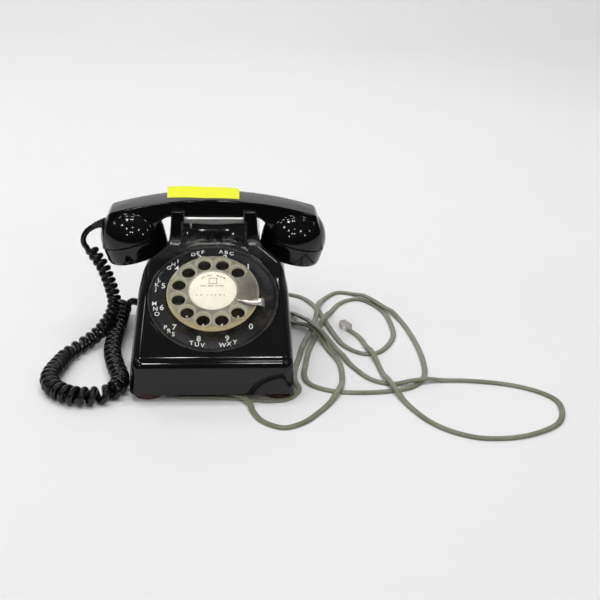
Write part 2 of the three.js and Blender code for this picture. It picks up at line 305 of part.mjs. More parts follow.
// flat line cord: it leaves the back, loops on the desk and ends in a clear modular plug.
// Where a later stretch crosses an earlier one it rides over it.
const LINE_W = 5.0, LINE_T = 2.3;
const LINE_PLAN = [[32, 105], [34, 114], [48, 116], [68, 112], [80, 105], [89, 91], [95, 74], [100, 51], [107, 19], [113, -1], [122, -14], [132, -20], [142, -18], [152, -5], [160, 16], [161, 38], [157, 69], [148, 88], [137, 99], [127, 98], [116, 88], [106, 66], [97, 43], [89, 14], [82, -14], [78, -40], [76, -60], [79, -74], [88, -83], [102, -89], [121, -91], [144, -89], [164, -82], [176, -66], [180, -38], [177, 14], [168, 58], [158, 75], [146, 96], [131, 112], [117, 116], [105, 104], [97, 86], [93, 60], [86, 24], [78, -4], [71, -36], [67.8, -56], [68, -71], [70.4, -83], [66.5, -94], [58.3, -101.9], [44.8, -104], [32, -102], [14, -98.8], [-10, -96.3], [-29, -95.5], [-36.5, -91], [-32, -86], [-18, -85.5], [0, -90], [17, -97.4], [26, -104.4], [30, -111], [32, -120], [40, -137], [56, -147], [71, -140], [85, -123], [99, -99], [106, -78], [108, -47], [106, -32], [100, -13], [94, 7], [86, 24], [78, 33], [71.5, 40], [69.0, 52], [70, 64], [74.5, 54], [84, 32], [94, 12], [103, -8], [111, -27], [120, -48], [131, -67], [143, -75], [158, -77], [172, -74], [187, -71], [216, -72], [248, -80], [269, -93], [279, -107], [279, -125], [271, -144], [254, -157], [232, -165], [206, -165], [187, -156], [171, -140], [159, -117], [150, -91], [144, -67], [139, -32], [134, -8], [129, 14], [121.4, 29]];
function restack(plan, width, rise, z0) {
  const c = new THREE.CatmullRomCurve3(plan.map(([x, y]) => new THREE.Vector3(x, y, 0)), false, 'centripetal');
  const n = 170, P = c.getSpacedPoints(n), step = c.getLength() / n, z = P.map(() => z0);
  for (let pass = 0; pass < 8; pass++) {
    let moved = false;
    for (let j = 0; j <= n; j++) for (let i = 0; i < j - 5; i++) {
      if (Math.hypot(P[i].x - P[j].x, P[i].y - P[j].y) > width) continue;
      if (z[j] < z[i] + rise - 1e-6) { z[j] = z[i] + rise; moved = true; }
    }
    for (let j = 0; j <= n; j++) for (let k = Math.max(0, j - 8); k <= Math.min(n, j + 8); k++) { const e = z[k] - 0.22 * step * Math.abs(j - k); if (z[j] < e) z[j] = e; }
    if (!moved) break;
  }
  return P.map((p, i) => [p.x, p.y, z[i]]);
}
const flat = restack(LINE_PLAN, LINE_W + 1.5, LINE_T + 0.5, DESK_Z + LINE_T / 2 + 0.02);
flat.unshift([32, 98, 4.4], [32, 101.5, 3.6]);
put('line_cord', sweep(flat, [[-LINE_W / 2, -LINE_T / 2], [LINE_W / 2, -LINE_T / 2], [LINE_W / 2, LINE_T / 2], [-LINE_W / 2, LINE_T / 2]]), M.flatCord);
put('line_cord_grommet', S(U(box(28.2, 35.8, 99.2, 103.0, 1.2, 6.9), box(27.2, 36.8, 95.0, 98.2, 3.4, 6.9), box(28.2, 35.8, 98.0, 99.4, 3.4, 6.9)), box(29, 35, 96.5, 110, 0, 6.0)), M.cord);
{
  const [ex, ey, ez] = flat[flat.length - 1], [px, py] = flat[flat.length - 4], a = Math.atan2(ey - py, ex - px);
  const m = new THREE.Matrix4().makeRotationZ(a); m.setPosition(ex, ey, DESK_Z);
  put('modular_plug', U(box(0.9, 12.9, -3.3, 3.3, 0.3, 6.3), box(2.4, 10.4, -1.6, 1.6, 6.1, 7.6)).transform(m.toArray()), M.plug);
}

export default root;
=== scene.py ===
# Looks of a rotary desk telephone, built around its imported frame. Metres, same frame as the design.
import math

import bmesh
import bpy
import numpy as np
from mathutils import Matrix, Vector


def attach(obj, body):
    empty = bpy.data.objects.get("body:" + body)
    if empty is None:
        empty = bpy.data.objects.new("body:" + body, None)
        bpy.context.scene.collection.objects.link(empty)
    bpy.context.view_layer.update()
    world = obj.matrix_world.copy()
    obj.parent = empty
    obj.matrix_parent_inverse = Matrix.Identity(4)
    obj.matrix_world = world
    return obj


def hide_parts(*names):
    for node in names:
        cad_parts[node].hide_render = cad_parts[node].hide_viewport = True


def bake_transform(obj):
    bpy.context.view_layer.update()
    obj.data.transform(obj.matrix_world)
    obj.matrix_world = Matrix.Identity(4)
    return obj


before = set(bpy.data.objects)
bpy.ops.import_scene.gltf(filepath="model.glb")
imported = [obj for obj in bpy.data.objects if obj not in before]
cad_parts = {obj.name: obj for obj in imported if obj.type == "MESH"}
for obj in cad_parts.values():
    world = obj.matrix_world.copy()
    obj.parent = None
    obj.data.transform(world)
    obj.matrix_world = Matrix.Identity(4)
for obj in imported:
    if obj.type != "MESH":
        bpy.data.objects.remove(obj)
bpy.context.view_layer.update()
MM = 0.001
D = math.pi / 180

# ------------------------------------------------------------------ dimensions, mm, as in the design
DESK = -5.0
DIAL = np.array([0.0, -45.5, 61.0])
TH = 30 * D
DN = np.array([0.0, -math.sin(TH), math.cos(TH)])      # dial axis, outwards
DU = np.array([0.0, math.cos(TH), math.sin(TH)])       # up the slope
HX = -1.2                                               # handset sits this far off the middle
GY = 34.5
CUP_X, CUP_R, CUP_T, CUP_Z = 68.2, 28.3, 15 * D, 77.0
CAP_DEEP = 8.3                                          # the caps reach this far below that
LEAN = 0.011                                            # the handset lies a little lower at the right
SADDLE, HORN_TOP = 108.4, 116.9
PLUNGER_X = 30.0


# ------------------------------------------------------------------ mesh helpers
def make(name, verts, faces, mats=(), smooth=True, normals=None):
    me = bpy.data.meshes.new(name)
    me.from_pydata([tuple(v) for v in np.asarray(verts, float) * MM], [], [tuple(int(i) for i in f) for f in faces])
    me.validate()
    me.update()
    ob = bpy.data.objects.new(name, me)
    bpy.context.scene.collection.objects.link(ob)
    for m in mats:
        me.materials.append(m)
    for p in me.polygons:
        p.use_smooth = smooth
    if normals is not None and len(me.vertices) == len(normals):
        me.normals_split_custom_set_from_vertices([tuple(n) for n in normals])
    return ob


def from_arrays(name, verts, quads, mats=(), normals=None):
    """Fast path for big all-quad meshes."""
    me = bpy.data.meshes.new(name)
    v = np.asarray(verts, np.float32) * MM
    q = np.asarray(quads, np.int32)
    me.vertices.add(len(v))
    me.vertices.foreach_set("co", v.ravel())
    me.loops.add(q.size)
    me.loops.foreach_set("vertex_index", q.ravel())
    me.polygons.add(len(q))
    me.polygons.foreach_set("loop_start", np.arange(0, q.size, q.shape[1], dtype=np.int32))
    me.polygons.foreach_set("loop_total", np.full(len(q), q.shape[1], np.int32))
    me.polygons.foreach_set("use_smooth", np.ones(len(q), bool))
    me.update(calc_edges=True)
    me.validate()
    ob = bpy.data.objects.new(name, me)
    bpy.context.scene.collection.objects.link(ob)
    for m in mats:
        me.materials.append(m)
    if normals is not None:
        me.normals_split_custom_set_from_vertices(np.asarray(normals, np.float32).tolist())
    return ob


def autosmooth(ob, deg=35):
    """Sharp edges by angle, so that crisp machined or moulded edges stay crisp."""
    bm = bmesh.new(); bm.from_mesh(ob.data)
    for e in bm.edges:
        if len(e.link_faces) == 2 and e.calc_face_angle(0) > deg * D:
            e.smooth = False
    bm.to_mesh(ob.data); bm.free()
    return ob


def fix_normals(ob):
    bm = bmesh.new(); bm.from_mesh(ob.data)
    bmesh.ops.remove_doubles(bm, verts=bm.verts, dist=1e-7)
    bmesh.ops.recalc_face_normals(bm, faces=bm.faces)
    bm.to_mesh(ob.data); bm.free()
    return ob


def lathe_mesh(profile, n=96, close=True):
    """Revolve [(r, z)] about z; a point at r=0 becomes a pole."""
    verts, faces, rows = [], [], []
    for r, z in profile:
        if r < 1e-9:
            rows.append([len(verts)]); verts.append((0, 0, z))
        else:
            rows.append(list(range(len(verts), len(verts) + n)))
            for i in range(n):
                a = 2 * math.pi * i / n
                verts.append((r * math.cos(a), r * math.sin(a), z))
    pairs = list(zip(rows[:-1], rows[1:]))
    if close and len(rows[0]) > 1 and len(rows[-1]) > 1:
        pairs.append((rows[-1], rows[0]))
    for a, b in pairs:
        for i in range(n):
            j = (i + 1) % n
            if len(a) == 1 and len(b) == 1:
                continue
            if len(a) == 1:
                faces.append((a[0], b[i], b[j]))
            elif len(b) == 1:
                faces.append((a[i], b[0], a[j]))
            else:
                faces.append((a[i], b[i], b[j], a[j]))
    return np.array(verts, float), faces


def rounded(profile, r=0.5, n=4, closed=True):
    """Round the corners of a profile polygon of (x, y) or (x, y, radius)."""
    P = [tuple(p) for p in profile]
    out = []
    N = len(P)
    for i in range(N):
        p = np.array(P[i][:2], float)
        rr = P[i][2] if len(P[i]) > 2 else r
        if (not closed and i in (0, N - 1)) or rr <= 0:
            out.append(tuple(p)); continue
        a, b = np.array(P[i - 1][:2], float), np.array(P[(i + 1) % N][:2], float)
        u, v = a - p, b - p
        lu, lv = np.linalg.norm(u), np.linalg.norm(v)
        if lu < 1e-9 or lv < 1e-9:
            out.append(tuple(p)); continue
        u, v = u / lu, v / lv
        ang = math.acos(max(-1, min(1, float(u @ v))))
        if ang > math.pi - 0.05:
            out.append(tuple(p)); continue
        t = min(rr / math.tan(ang / 2), 0.48 * lu, 0.48 * lv)
        p0, p1 = p + u * t, p + v * t
        for k in range(n + 1):
            s = k / n
            q = (1 - s) ** 2 * p0 + 2 * s * (1 - s) * p + s * s * p1
            out.append((float(q[0]), float(q[1])))
    return out


def dial_to_world(v):
    v = np.asarray(v, float)
    return DIAL + v[:, :1] * np.array([1.0, 0, 0]) + v[:, 1:2] * DU + v[:, 2:3] * DN


def cup_to_world(v, s):
    """Cup frame: z up the cup's axis from the cap's face, x outwards."""
    v = np.asarray(v, float)
    up = np.array([s * math.sin(CUP_T), 0, math.cos(CUP_T)])
    out = np.array([s * math.cos(CUP_T), 0, -math.sin(CUP_T)])
    c = np.array([HX + s * CUP_X, GY, CUP_Z - s * LEAN * CUP_X])
    return c + v[:, :1] * out + v[:, 1:2] * np.array([0, s * 1.0, 0]) + v[:, 2:3] * up


def catmull(pts, step):
    """Centripetal Catmull-Rom through pts, resampled at about step mm."""
    P = np.asarray(pts, float)
    P = np.vstack([2 * P[0] - P[1], P, 2 * P[-1] - P[-2]])
    out = []
    for i in range(1, len(P) - 2):
        p0, p1, p2, p3 = P[i - 1], P[i], P[i + 1], P[i + 2]
        t0 = 0.0
        t1 = t0 + max(np.linalg.norm(p1 - p0), 1e-6) ** 0.5
        t2 = t1 + max(np.linalg.norm(p2 - p1), 1e-6) ** 0.5
        t3 = t2 + max(np.linalg.norm(p3 - p2), 1e-6) ** 0.5
        for t in np.linspace(t1, t2, 24, endpoint=False):
            a1 = (t1 - t) / (t1 - t0) * p0 + (t - t0) / (t1 - t0) * p1
            a2 = (t2 - t) / (t2 - t1) * p1 + (t - t1) / (t2 - t1) * p2
            a3 = (t3 - t) / (t3 - t2) * p2 + (t - t2) / (t3 - t2) * p3
            b1 = (t2 - t) / (t2 - t0) * a1 + (t - t0) / (t2 - t0) * a2
            b2 = (t3 - t) / (t3 - t1) * a2 + (t - t1) / (t3 - t1) * a3
            out.append((t2 - t) / (t2 - t1) * b1 + (t - t1) / (t2 - t1) * b2)
    out.append(P[-2])
    Q = np.array(out)
    s = np.concatenate([[0], np.cumsum(np.linalg.norm(np.diff(Q, axis=0), axis=1))])
    n = max(2, int(round(s[-1] / step)))
    t = np.linspace(0, s[-1], n + 1)
    return np.stack([np.interp(t, s, Q[:, k]) for k in range(3)], 1)


def frames(P, up=None):
    """Tangent, side, up at each point; up is carried along, or held near a given direction."""
    T = np.gradient(P, axis=0)
    T /= np.linalg.norm(T, axis=1)[:, None]
    S = np.zeros_like(P)
    if up is not None:
        S = np.cross(T, np.array(up, float))
        S /= np.linalg.norm(S, axis=1)[:, None]
    else:
        s = np.cross(T[0], [0, 0, 1.0])
        if np.linalg.norm(s) < 0.2:
            s = np.cross(T[0], [0, 1.0, 0])
        for i in range(len(P)):
            s = s - T[i] * (s @ T[i])
            s /= np.linalg.norm(s)
            S[i] = s
    W = np.cross(S, T)
    return T, S, W


def sweep_mesh(P, section, up=None, scale=None, fr=None):
    """Closed tube of a closed section (list of (side, up)) along P, with end caps."""
    T, S, W = fr if fr is not None else frames(P, up)
    sec = np.asarray(section, float)
    n, m = len(P), len(sec)
    sc = np.ones(n) if scale is None else np.asarray(scale, float)
    V = (P[:, None, :] + sc[:, None, None] * (sec[None, :, 0, None] * S[:, None, :] + sec[None, :, 1, None] * W[:, None, :])).reshape(-1, 3)
    F = []
    for i in range(n - 1):
        for j in range(m):
            a, b = i * m + j, i * m + (j + 1) % m
            F.append((a, b, b + m, a + m))
    F.append(tuple(range(m))[::-1])
    F.append(tuple((n - 1) * m + k for k in range(m)))
    return V, F


def circle(r, n=12):
    return [(r * math.cos(2 * math.pi * i / n), r * math.sin(2 * math.pi * i / n)) for i in range(n)]


# ------------------------------------------------------------------ distance-field surfaces
def rmax(a, b, r):
    """Intersection with a round edge of radius r."""
    return np.minimum(-r, np.maximum(a, b)) + np.hypot(np.maximum(a + r, 0), np.maximum(b + r, 0))


def rmin(a, b, r):
    """Union with a fillet of radius r."""
    return np.maximum(r, np.minimum(a, b)) - np.hypot(np.maximum(r - a, 0), np.maximum(r - b, 0))


def polygonise(f, lo, hi, h):
    """Surface nets over f < 0, then the points are pulled onto f = 0. Returns verts, quads, normals."""
    lo, hi = np.array(lo, float), np.array(hi, float)
    n = np.ceil((hi - lo) / h).astype(int) + 1
    xs = [lo[k] + h * np.arange(n[k]) for k in range(3)]
    F = np.empty(n, np.float32)
    for i in range(0, n[0], 16):
        X, Y, Z = np.meshgrid(xs[0][i:i + 16], xs[1], xs[2], indexing="ij")
        F[i:i + 16] = f(X.astype(np.float32), Y.astype(np.float32), Z.astype(np.float32))
    neg = F < 0
    cn = n - 1
    corners = [(a, b, c) for a in (0, 1) for b in (0, 1) for c in (0, 1)]
    cnt = np.zeros(cn, np.int8)
    for a, b, c in corners:
        cnt += neg[a:a + cn[0], b:b + cn[1], c:c + cn[2]]
    active = (cnt > 0) & (cnt < 8)
    ci = np.argwhere(active)
    index = np.full(cn, -1, np.int64)
    index[active] = np.arange(len(ci))
    acc = np.zeros((len(ci), 3)); num = np.zeros(len(ci))
    for p in corners:
        for k in range(3):
            if p[k]:
                continue
            q = list(p); q[k] = 1
            fa = F[ci[:, 0] + p[0], ci[:, 1] + p[1], ci[:, 2] + p[2]]
            fb = F[ci[:, 0] + q[0], ci[:, 1] + q[1], ci[:, 2] + q[2]]
            m = (fa < 0) != (fb < 0)
            t = np.where(m, fa / np.where(m, fa - fb, 1), 0)
            pt = np.tile(np.array(p, float), (len(ci), 1)); pt[:, k] += t
            acc += pt * m[:, None]; num += m
    V = lo + h * (ci + acc / num[:, None])
    quads = []
    for k in range(3):
        u, v = (k + 1) % 3, (k + 2) % 3
        sl0 = [slice(1, cn[d]) for d in range(3)]; sl0[k] = slice(0, cn[k])
        sl1 = list(sl0); sl1[k] = slice(1, cn[k] + 1)
        a, b = neg[tuple(sl0)], neg[tuple(sl1)]
        for flip in (False, True):
            e = np.argwhere((a & ~b) if not flip else (~a & b))
            off = np.array([1 if d != k else 0 for d in range(3)])
            e = e + off
            def cell(du, dv):
                c = e.copy(); c[:, u] -= du; c[:, v] -= dv
                return index[c[:, 0], c[:, 1], c[:, 2]]
            q = np.stack([cell(1, 1), cell(0, 1), cell(0, 0), cell(1, 0)], 1)
            quads.append(q if not flip else q[:, ::-1])
    Q = np.concatenate(quads)
    Q = Q[(Q >= 0).all(1)]

    def grad(P, e=0.04):
        g = np.empty_like(P)
        for k in range(3):
            d = np.zeros(3); d[k] = e
            A, B = P + d, P - d
            g[:, k] = (f(A[:, 0], A[:, 1], A[:, 2]) - f(B[:, 0], B[:, 1], B[:, 2])) / (2 * e)
        return g
    for _ in range(5):
        g = grad(V); g2 = np.maximum((g * g).sum(1), 0.05)
        d = f(V[:, 0], V[:, 1], V[:, 2])[:, None] * g / g2[:, None]
        L = np.linalg.norm(d, axis=1)[:, None]
        V = V - d * np.minimum(1, 0.6 * h / np.maximum(L, 1e-9))
    g = grad(V, 0.12)
    return V, Q, g / np.maximum(np.linalg.norm(g, axis=1)[:, None], 1e-9)


def shell_outer(x, y, z):
    ax = np.abs(x)
    side = (ax - (65.4 - 0.07 * (z - 1) - 0.0016 * np.maximum(y - 30, 0) ** 1.2)) * 0.9975
    front = -101.4 - y + 0.012 * (z - 1)
    slope = DN[1] * (y - DIAL[1]) + DN[2] * (z - DIAL[2])
    cy = -101.14 + 10.9
    cz = DIAL[2] + (-10.9 - DN[1] * (cy - DIAL[1])) / DN[2]
    wedge = (z >= cz) & ((y - cy) * DU[1] + (z - cz) * DU[2] <= 0)
    fs = np.where(wedge, np.hypot(y - cy, z - cz) - 10.9, np.maximum(front, slope))
    shoulder = (z - (72.6 - 0.268 * (ax - 42))) * 0.966
    r1 = (y - 64) * 0.7071 + (z - 82) * 0.7071
    r2 = (y - 88.5) * 0.951 + (z - 57) * 0.309
    rear = rmax(rmax(r1, r2, 26), y - 101.4, 16)
    lower = rmax(rmax(rmax(fs, shoulder, 6), rear, 14), side, 7)
    p45 = ax * 0.69 + y * 0.724 - 34.4
    upper = rmax(rmax(fs, side, 6.5), p45, 7.5)
    upper = rmax(rmax(upper, z - 91.2, 1.2), y - 16, 1)
    body = rmin(lower, upper, 5)
    # neck: two rails with horns, and the wall between them
    flare = 0.9 * np.exp(-np.maximum(z - 91.0, 0) / 2.5)
    rail = rmax(rmax(ax - 38.2 - flare + 0.075 * (z - 91), (6.4 + 0.14 * (z - 91) - y), 1.5), y - 65.0 + 0.03 * (z - 91), 2.5)
    rail = rmax(rail, 25.2 - ax, 1.5)
    groove = rmax(rmax(17.6 - y, y - 51.6, 0.8), SADDLE - z, 3.2)
    rail = rmax(rmax(rail, z - HORN_TOP, 1.0), -groove, 1.3)
    # front wall between the rails, leaning back and set back in the middle
    yw = 13.6 - 3.6 * (ax / 25.2) ** 4
    mid = rmax((yw - 8.2 - y) * 0.98, (yw - y) * 0.887 + (z - 108.2) * 0.462, 5.0)
    mid = rmax(mid, (z - 108.2) * 0.98, 1.4)
    mid = rmax(mid, (y - 17.8) * 0.53 + (z - 108.1) * 0.848, 1.0)
    mid = np.maximum(rmax(mid, y - 66, 2.5), ax - 27)
    neck = rmin(rail, mid, 1.8)
    neck = np.maximum(neck, 66 - z)
    return rmin(body, neck, 3.5)


def shell_field(x, y, z):
    ax = np.abs(x)
    d = shell_outer(x, y, z)
    lz = DN[1] * (y - DIAL[1]) + DN[2] * (z - DIAL[2])
    ly = DU[1] * (y - DIAL[1]) + DU[2] * (z - DIAL[2])
    r = np.hypot(x, ly)
    d = rmax(d, -rmax(r - 54.9, -(lz + 3.4), 0.3), 0.5)        # seat of the number plate
    d = rmax(d, -rmax(r - 50.2, -(lz + 40), 0.3), 0.5)
    # hollow inside
    side = (ax - (62.6 - 0.07 * (z - 1))) * 0.9975
    slope = lz + 2.9
    shoulder = np.minimum((z - (69.6 - 0.268 * (ax - 42))) * 0.966, rmax(z - 88, ax - 35.4, 2))
    r1 = (y - 61) * 0.7071 + (z - 79) * 0.7071
    r2 = (y - 85.7) * 0.951 + (z - 56) * 0.309
    inner = rmax(rmax(rmax(-98.6 - y, slope, 10), shoulder, 5), rmax(rmax(r1, r2, 24), y - 98.6, 13), 5)
    inner = rmax(inner, side, 5)
    d = rmax(d, -inner, 0.8)
    # plunger wells
    for s in (-1, 1):
        w = np.hypot(x - s * PLUNGER_X, y - GY) - 4.6
        d = rmax(d, -np.maximum(w, 92 - z), 0.7)
    # notches for the cords
    d = rmax(d, -np.maximum(np.maximum(np.abs(y - 67) - 4.6, z - 8.4), x + 58), 0.6)
    d = rmax(d, -np.maximum(np.maximum(np.abs(x - 32) - 5.8, z - 7.3), 90 - y), 0.6)
    return rmax(d, 1.0 - z, 0.9)


def cup_coords(x, y, z, s):
    up = (s * math.sin(CUP_T), math.cos(CUP_T))
    dx, dz = x - (HX + s * CUP_X), z - CUP_Z + s * LEAN * CUP_X
    h = dx * up[0] + dz * up[1]
    o = dx * (s * math.cos(CUP_T)) - dz * math.sin(CUP_T)
    return np.hypot(o, y - GY), h, o


def handset_field(x, y, z):
    xx = x - HX
    ax = np.abs(xx)
    dy = np.abs(y - GY)
    crown = 0.8 * (1 - np.minimum((dy / 16.6) ** 2, 1.5))
    z = z + LEAN * xx * (ax < 1e9)
    top = 123.9 - 14.0 * (np.minimum(ax, 110) / 92) ** 2 + crown
    slope_k = 1 / np.sqrt(1 + (28.0 * ax / 92 ** 2) ** 2)
    bot = 108.8 - 12 * (np.clip(ax - 35.5, 0, 40) / 14.2) ** 2.4
    kb = 1 / np.sqrt(1 + (12 * 2.4 / 14.2 * (np.clip(ax - 35.5, 0, 15) / 14.2) ** 1.4) ** 2)
    hw = 15.9 - 0.00022 * np.maximum(ax - 40, 0) ** 2
    t = (z - top) * slope_k
    b = (bot - z) * kb
    # the flanks spread a little towards the underside
    flank = (dy - (hw - 1.3) - 0.12 * np.clip(top - z, 0, 16)) * 0.985
    grip = rmax(rmax(flank, t, 1.1), b, 1.6)
    grip = rmax(grip, ax - 90.2 - 0.20 * (top - z), 3.4)
    d = grip
    out = None
    for s in (-1, 1):
        r, h, o = cup_coords(x, y, z - LEAN * xx, s)
        grip_s = rmax(grip, 8.7 - h, 0.6)
        hh = np.maximum(h - 9.5, 0) / 28.8
        e = np.sqrt((r / 28.2) ** 2 + hh ** 2)
        dome = (e - 1) * np.where(h > 9.5, 26.5, 28.2)
        dome = rmax(dome, 8.7 - h, 0.6)
        part = rmin(np.where(s * xx > 0, grip_s, 50.0), dome, 1.6)
        # hollow for the capsule
        hollow = rmax(r - 24.2, h - 20, 3)
        part = rmax(part, -hollow, 0.4)
        out = part if out is None else np.minimum(out, part)
    # the middle of the grip belongs to both halves
    d = np.minimum(out, np.where(ax < 30, grip, 50.0))
    return d


# ------------------------------------------------------------------ materials
class Nodes:
    """Small helper that writes a procedural node material."""

    def __init__(self, name):
        self.mat = bpy.data.materials.new(name)
        self.mat.use_nodes = True
        self.t = self.mat.node_tree
        self.n = self.t.nodes
        for k in list(self.n):
            if k.type != "OUTPUT_MATERIAL":
                self.n.remove(k)
        self.out = [k for k in self.n if k.type == "OUTPUT_MATERIAL"][0]
        self.bsdf = self.n.new("ShaderNodeBsdfPrincipled")
        self.link(self.bsdf.outputs[0], self.out.inputs["Surface"])
        self.co = self.n.new("ShaderNodeTexCoord").outputs["Object"]

    def link(self, a, b):
        self.t.links.new(a, b)

    def put(self, v, socket):
        if isinstance(v, (int, float)):
            socket.default_value = v
        elif isinstance(v, (tuple, list)):
            socket.default_value = tuple(v) + (1.0,) * (4 - len(v)) if socket.type == "RGBA" else tuple(v)
        else:
            self.link(v, socket)

    def set(self, **kw):
        for k, v in kw.items():
            self.put(v, self.bsdf.inputs[k.replace("_", " ")])
        return self

    def math(self, op, a, b=0.0, c=None, clamp=False):
        m = self.n.new("ShaderNodeMath"); m.operation = op; m.use_clamp = clamp
        self.put(a, m.inputs[0]); self.put(b, m.inputs[1])
        if c is not None:
            self.put(c, m.inputs[2])
        return m.outputs[0]

    def dot(self, vec, d, c=0.0):
        m = self.n.new("ShaderNodeVectorMath"); m.operation = "DOT_PRODUCT"
        self.put(vec, m.inputs[0]); m.inputs[1].default_value = tuple(float(x) for x in d)
        return self.math("ADD", m.outputs["Value"], float(c))

    def noise(self, scale, detail=4.0, rough=0.55, vec=None, stretch=None):
        k = self.n.new("ShaderNodeTexNoise")
        k.inputs["Scale"].default_value = scale
        k.inputs["Detail"].default_value = detail
        k.inputs["Roughness"].default_value = rough
        v = vec or self.co
        if stretch:
            mp = self.n.new("ShaderNodeMapping"); mp.inputs["Scale"].default_value = stretch
            self.link(v, mp.inputs["Vector"]); v = mp.outputs[0]
        self.link(v, k.inputs["Vector"])
        return k.outputs["Fac"]

    def voronoi(self, scale, stretch=None):
        k = self.n.new("ShaderNodeTexVoronoi"); k.inputs["Scale"].default_value = scale
        v = self.co
        if stretch:
            mp = self.n.new("ShaderNodeMapping"); mp.inputs["Scale"].default_value = stretch
            self.link(v, mp.inputs["Vector"]); v = mp.outputs[0]
        self.link(v, k.inputs["Vector"])
        return k.outputs["Distance"]

    def ramp(self, v, stops):
        k = self.n.new("ShaderNodeValToRGB")
        self.link(v, k.inputs[0])
        e = k.color_ramp.elements
        while len(e) < len(stops):
            e.new(0.5)
        for el, (p, c) in zip(e, stops):
            el.position = p
            el.color = (c, c, c, 1) if isinstance(c, (int, float)) else tuple(c) + (1,) * (4 - len(c))
        return k.outputs["Color"]

    def span(self, v, a, b, lo=0.0, hi=1.0):
        k = self.n.new("ShaderNodeMapRange"); k.clamp = True
        self.link(v, k.inputs[0])
        for i, x in enumerate((a, b, lo, hi)):
            k.inputs[i + 1].default_value = x
        return k.outputs[0]

    def mix(self, f, a, b):
        k = self.n.new("ShaderNodeMix"); k.data_type = "RGBA"
        ins = [s for s in k.inputs if s.type == "RGBA"]
        self.put(f, k.inputs[0]); self.put(a, ins[0]); self.put(b, ins[1])
        return [s for s in k.outputs if s.type == "RGBA"][0]

    def bump(self, h, strength=0.2, dist=0.0004):
        k = self.n.new("ShaderNodeBump")
        k.inputs["Strength"].default_value = strength
        k.inputs["Distance"].default_value = dist
        self.link(h, k.inputs["Height"])
        self.link(k.outputs[0], self.bsdf.inputs["Normal"])
        return self

    def up(self):
        """How far the surface faces the ceiling, 0 to 1."""
        g = self.n.new("ShaderNodeNewGeometry")
        s = self.n.new("ShaderNodeSeparateXYZ"); self.link(g.outputs["Normal"], s.inputs[0])
        return self.span(s.outputs["Z"], 0.15, 0.95)


def black_plastic(name, base=0.008, dust=0.05, rough=0.10, warm=(1.0, 0.96, 0.88), extra=None):
    """Moulded black plastic with settled dust, faint wipe marks and a few scuffs."""
    m = Nodes(name)
    big = m.noise(14, 5)
    fine = m.noise(420, 3, 0.7)
    wipe = m.noise(60, 4, 0.6, stretch=(1, 0.35, 0.35))
    speck = m.math("MULTIPLY", m.span(m.voronoi(700), 0.0, 0.10, 1.0, 0.0), m.span(m.noise(90, 3), 0.5, 0.62))
    film = m.math("MULTIPLY", m.up(), m.span(big, 0.35, 0.75, 0.25, 1.0))
    d = m.math("MULTIPLY", film, dust)
    d = m.math("ADD", d, m.math("MULTIPLY", m.math("MULTIPLY", speck, m.up()), dust * 3.0), clamp=True)
    rough_add = m.math("MULTIPLY", film, min(0.25, dust * 1.6))
    # the extra marks join the dust mix; for the housing they include a painted sheen on the cradle lip
    if extra:
        x = extra(m)
        d = m.math("ADD", d, x, clamp=True)
        rough_add = m.math("ADD", rough_add, m.math("MULTIPLY", x, 0.6))
    col = m.mix(d, (base, base, base * 1.12), (0.30 * warm[0], 0.30 * warm[1], 0.30 * warm[2]))
    r = m.math("ADD", m.span(wipe, 0.3, 0.75, rough * 0.7, rough * 1.4), rough_add, clamp=True)
    m.set(Base_Color=col, Roughness=r, IOR=1.46, Specular_IOR_Level=0.5)
    m.bump(m.math("ADD", m.math("MULTIPLY", m.noise(45, 2), 1.0), m.math("MULTIPLY", fine, 0.05)), 0.04, 0.0003)
    return m.mat


def cradle_dust_and_sheen(m):
    """Dust at the feet of the horns and along the top of the sloping face; on the lip between the horns, dust together
    with a painted sheen that lightens the lip where it faces up to the lamps.
    """
    sx = m.n.new("ShaderNodeSeparateXYZ"); m.link(m.co, sx.inputs[0])
    x, y, z = sx.outputs
    ax = m.math("ABSOLUTE", x)
    n = m.noise(110, 6, 0.65)
    curve = m.math("SUBTRACT", z, m.math("MULTIPLY", m.math("MULTIPLY", ax, ax), 3.2))      # the border sags in the middle
    # painted light: the lip mask lightens the up-facing lip between the horns as a stand-in for the lamps' sheen on
    # it, broken up by dust noise
    lip = m.math("MULTIPLY", m.math("MULTIPLY", m.span(curve, 0.1048, 0.1058), m.span(ax, 0.0262, 0.0250)), m.span(y, 0.024, 0.021))
    lip = m.math("MULTIPLY", lip, m.span(n, 0.2, 0.55, 0.26, 0.42))
    foot = m.math("MULTIPLY", m.math("MULTIPLY", m.span(z, 0.0985, 0.0915), m.span(z, 0.0885, 0.0905)), m.span(y, 0.001, 0.006))
    foot = m.math("MULTIPLY", foot, m.math("MULTIPLY", m.span(n, 0.42, 0.7), 0.35))
    band = m.math("MULTIPLY", m.math("MULTIPLY", m.span(z, 0.080, 0.090), m.up()), m.math("MULTIPLY", m.span(y, 0.012, 0.006), m.span(n, 0.35, 0.7, 0.03, 0.16)))
    return m.math("ADD", m.math("ADD", lip, foot), band, clamp=True)


def metal(name, color, rough=0.3, grime=0.3, metallic=1.0):
    m = Nodes(name)
    n = m.noise(160, 5, 0.6)
    g = m.math("MULTIPLY", m.span(n, 0.45, 0.8), grime)
    m.set(Base_Color=m.mix(g, color, tuple(c * 0.25 for c in color)), Metallic=metallic,
          Roughness=m.span(m.noise(300, 4), 0.3, 0.7, rough * 0.7, rough * 1.5))
    m.bump(m.noise(500, 3), 0.06, 0.0002)
    return m.mat


def dial_uvr(m):
    """Right, up-slope and radius in the plane of the dial, metres."""
    u = m.dot(m.co, (1, 0, 0), 0.0)
    v = m.dot(m.co, DU, -float(DIAL @ DU) * MM)
    r = m.math("SQRT", m.math("ADD", m.math("MULTIPLY", u, u), m.math("MULTIPLY", v, v)))
    return u, v, r


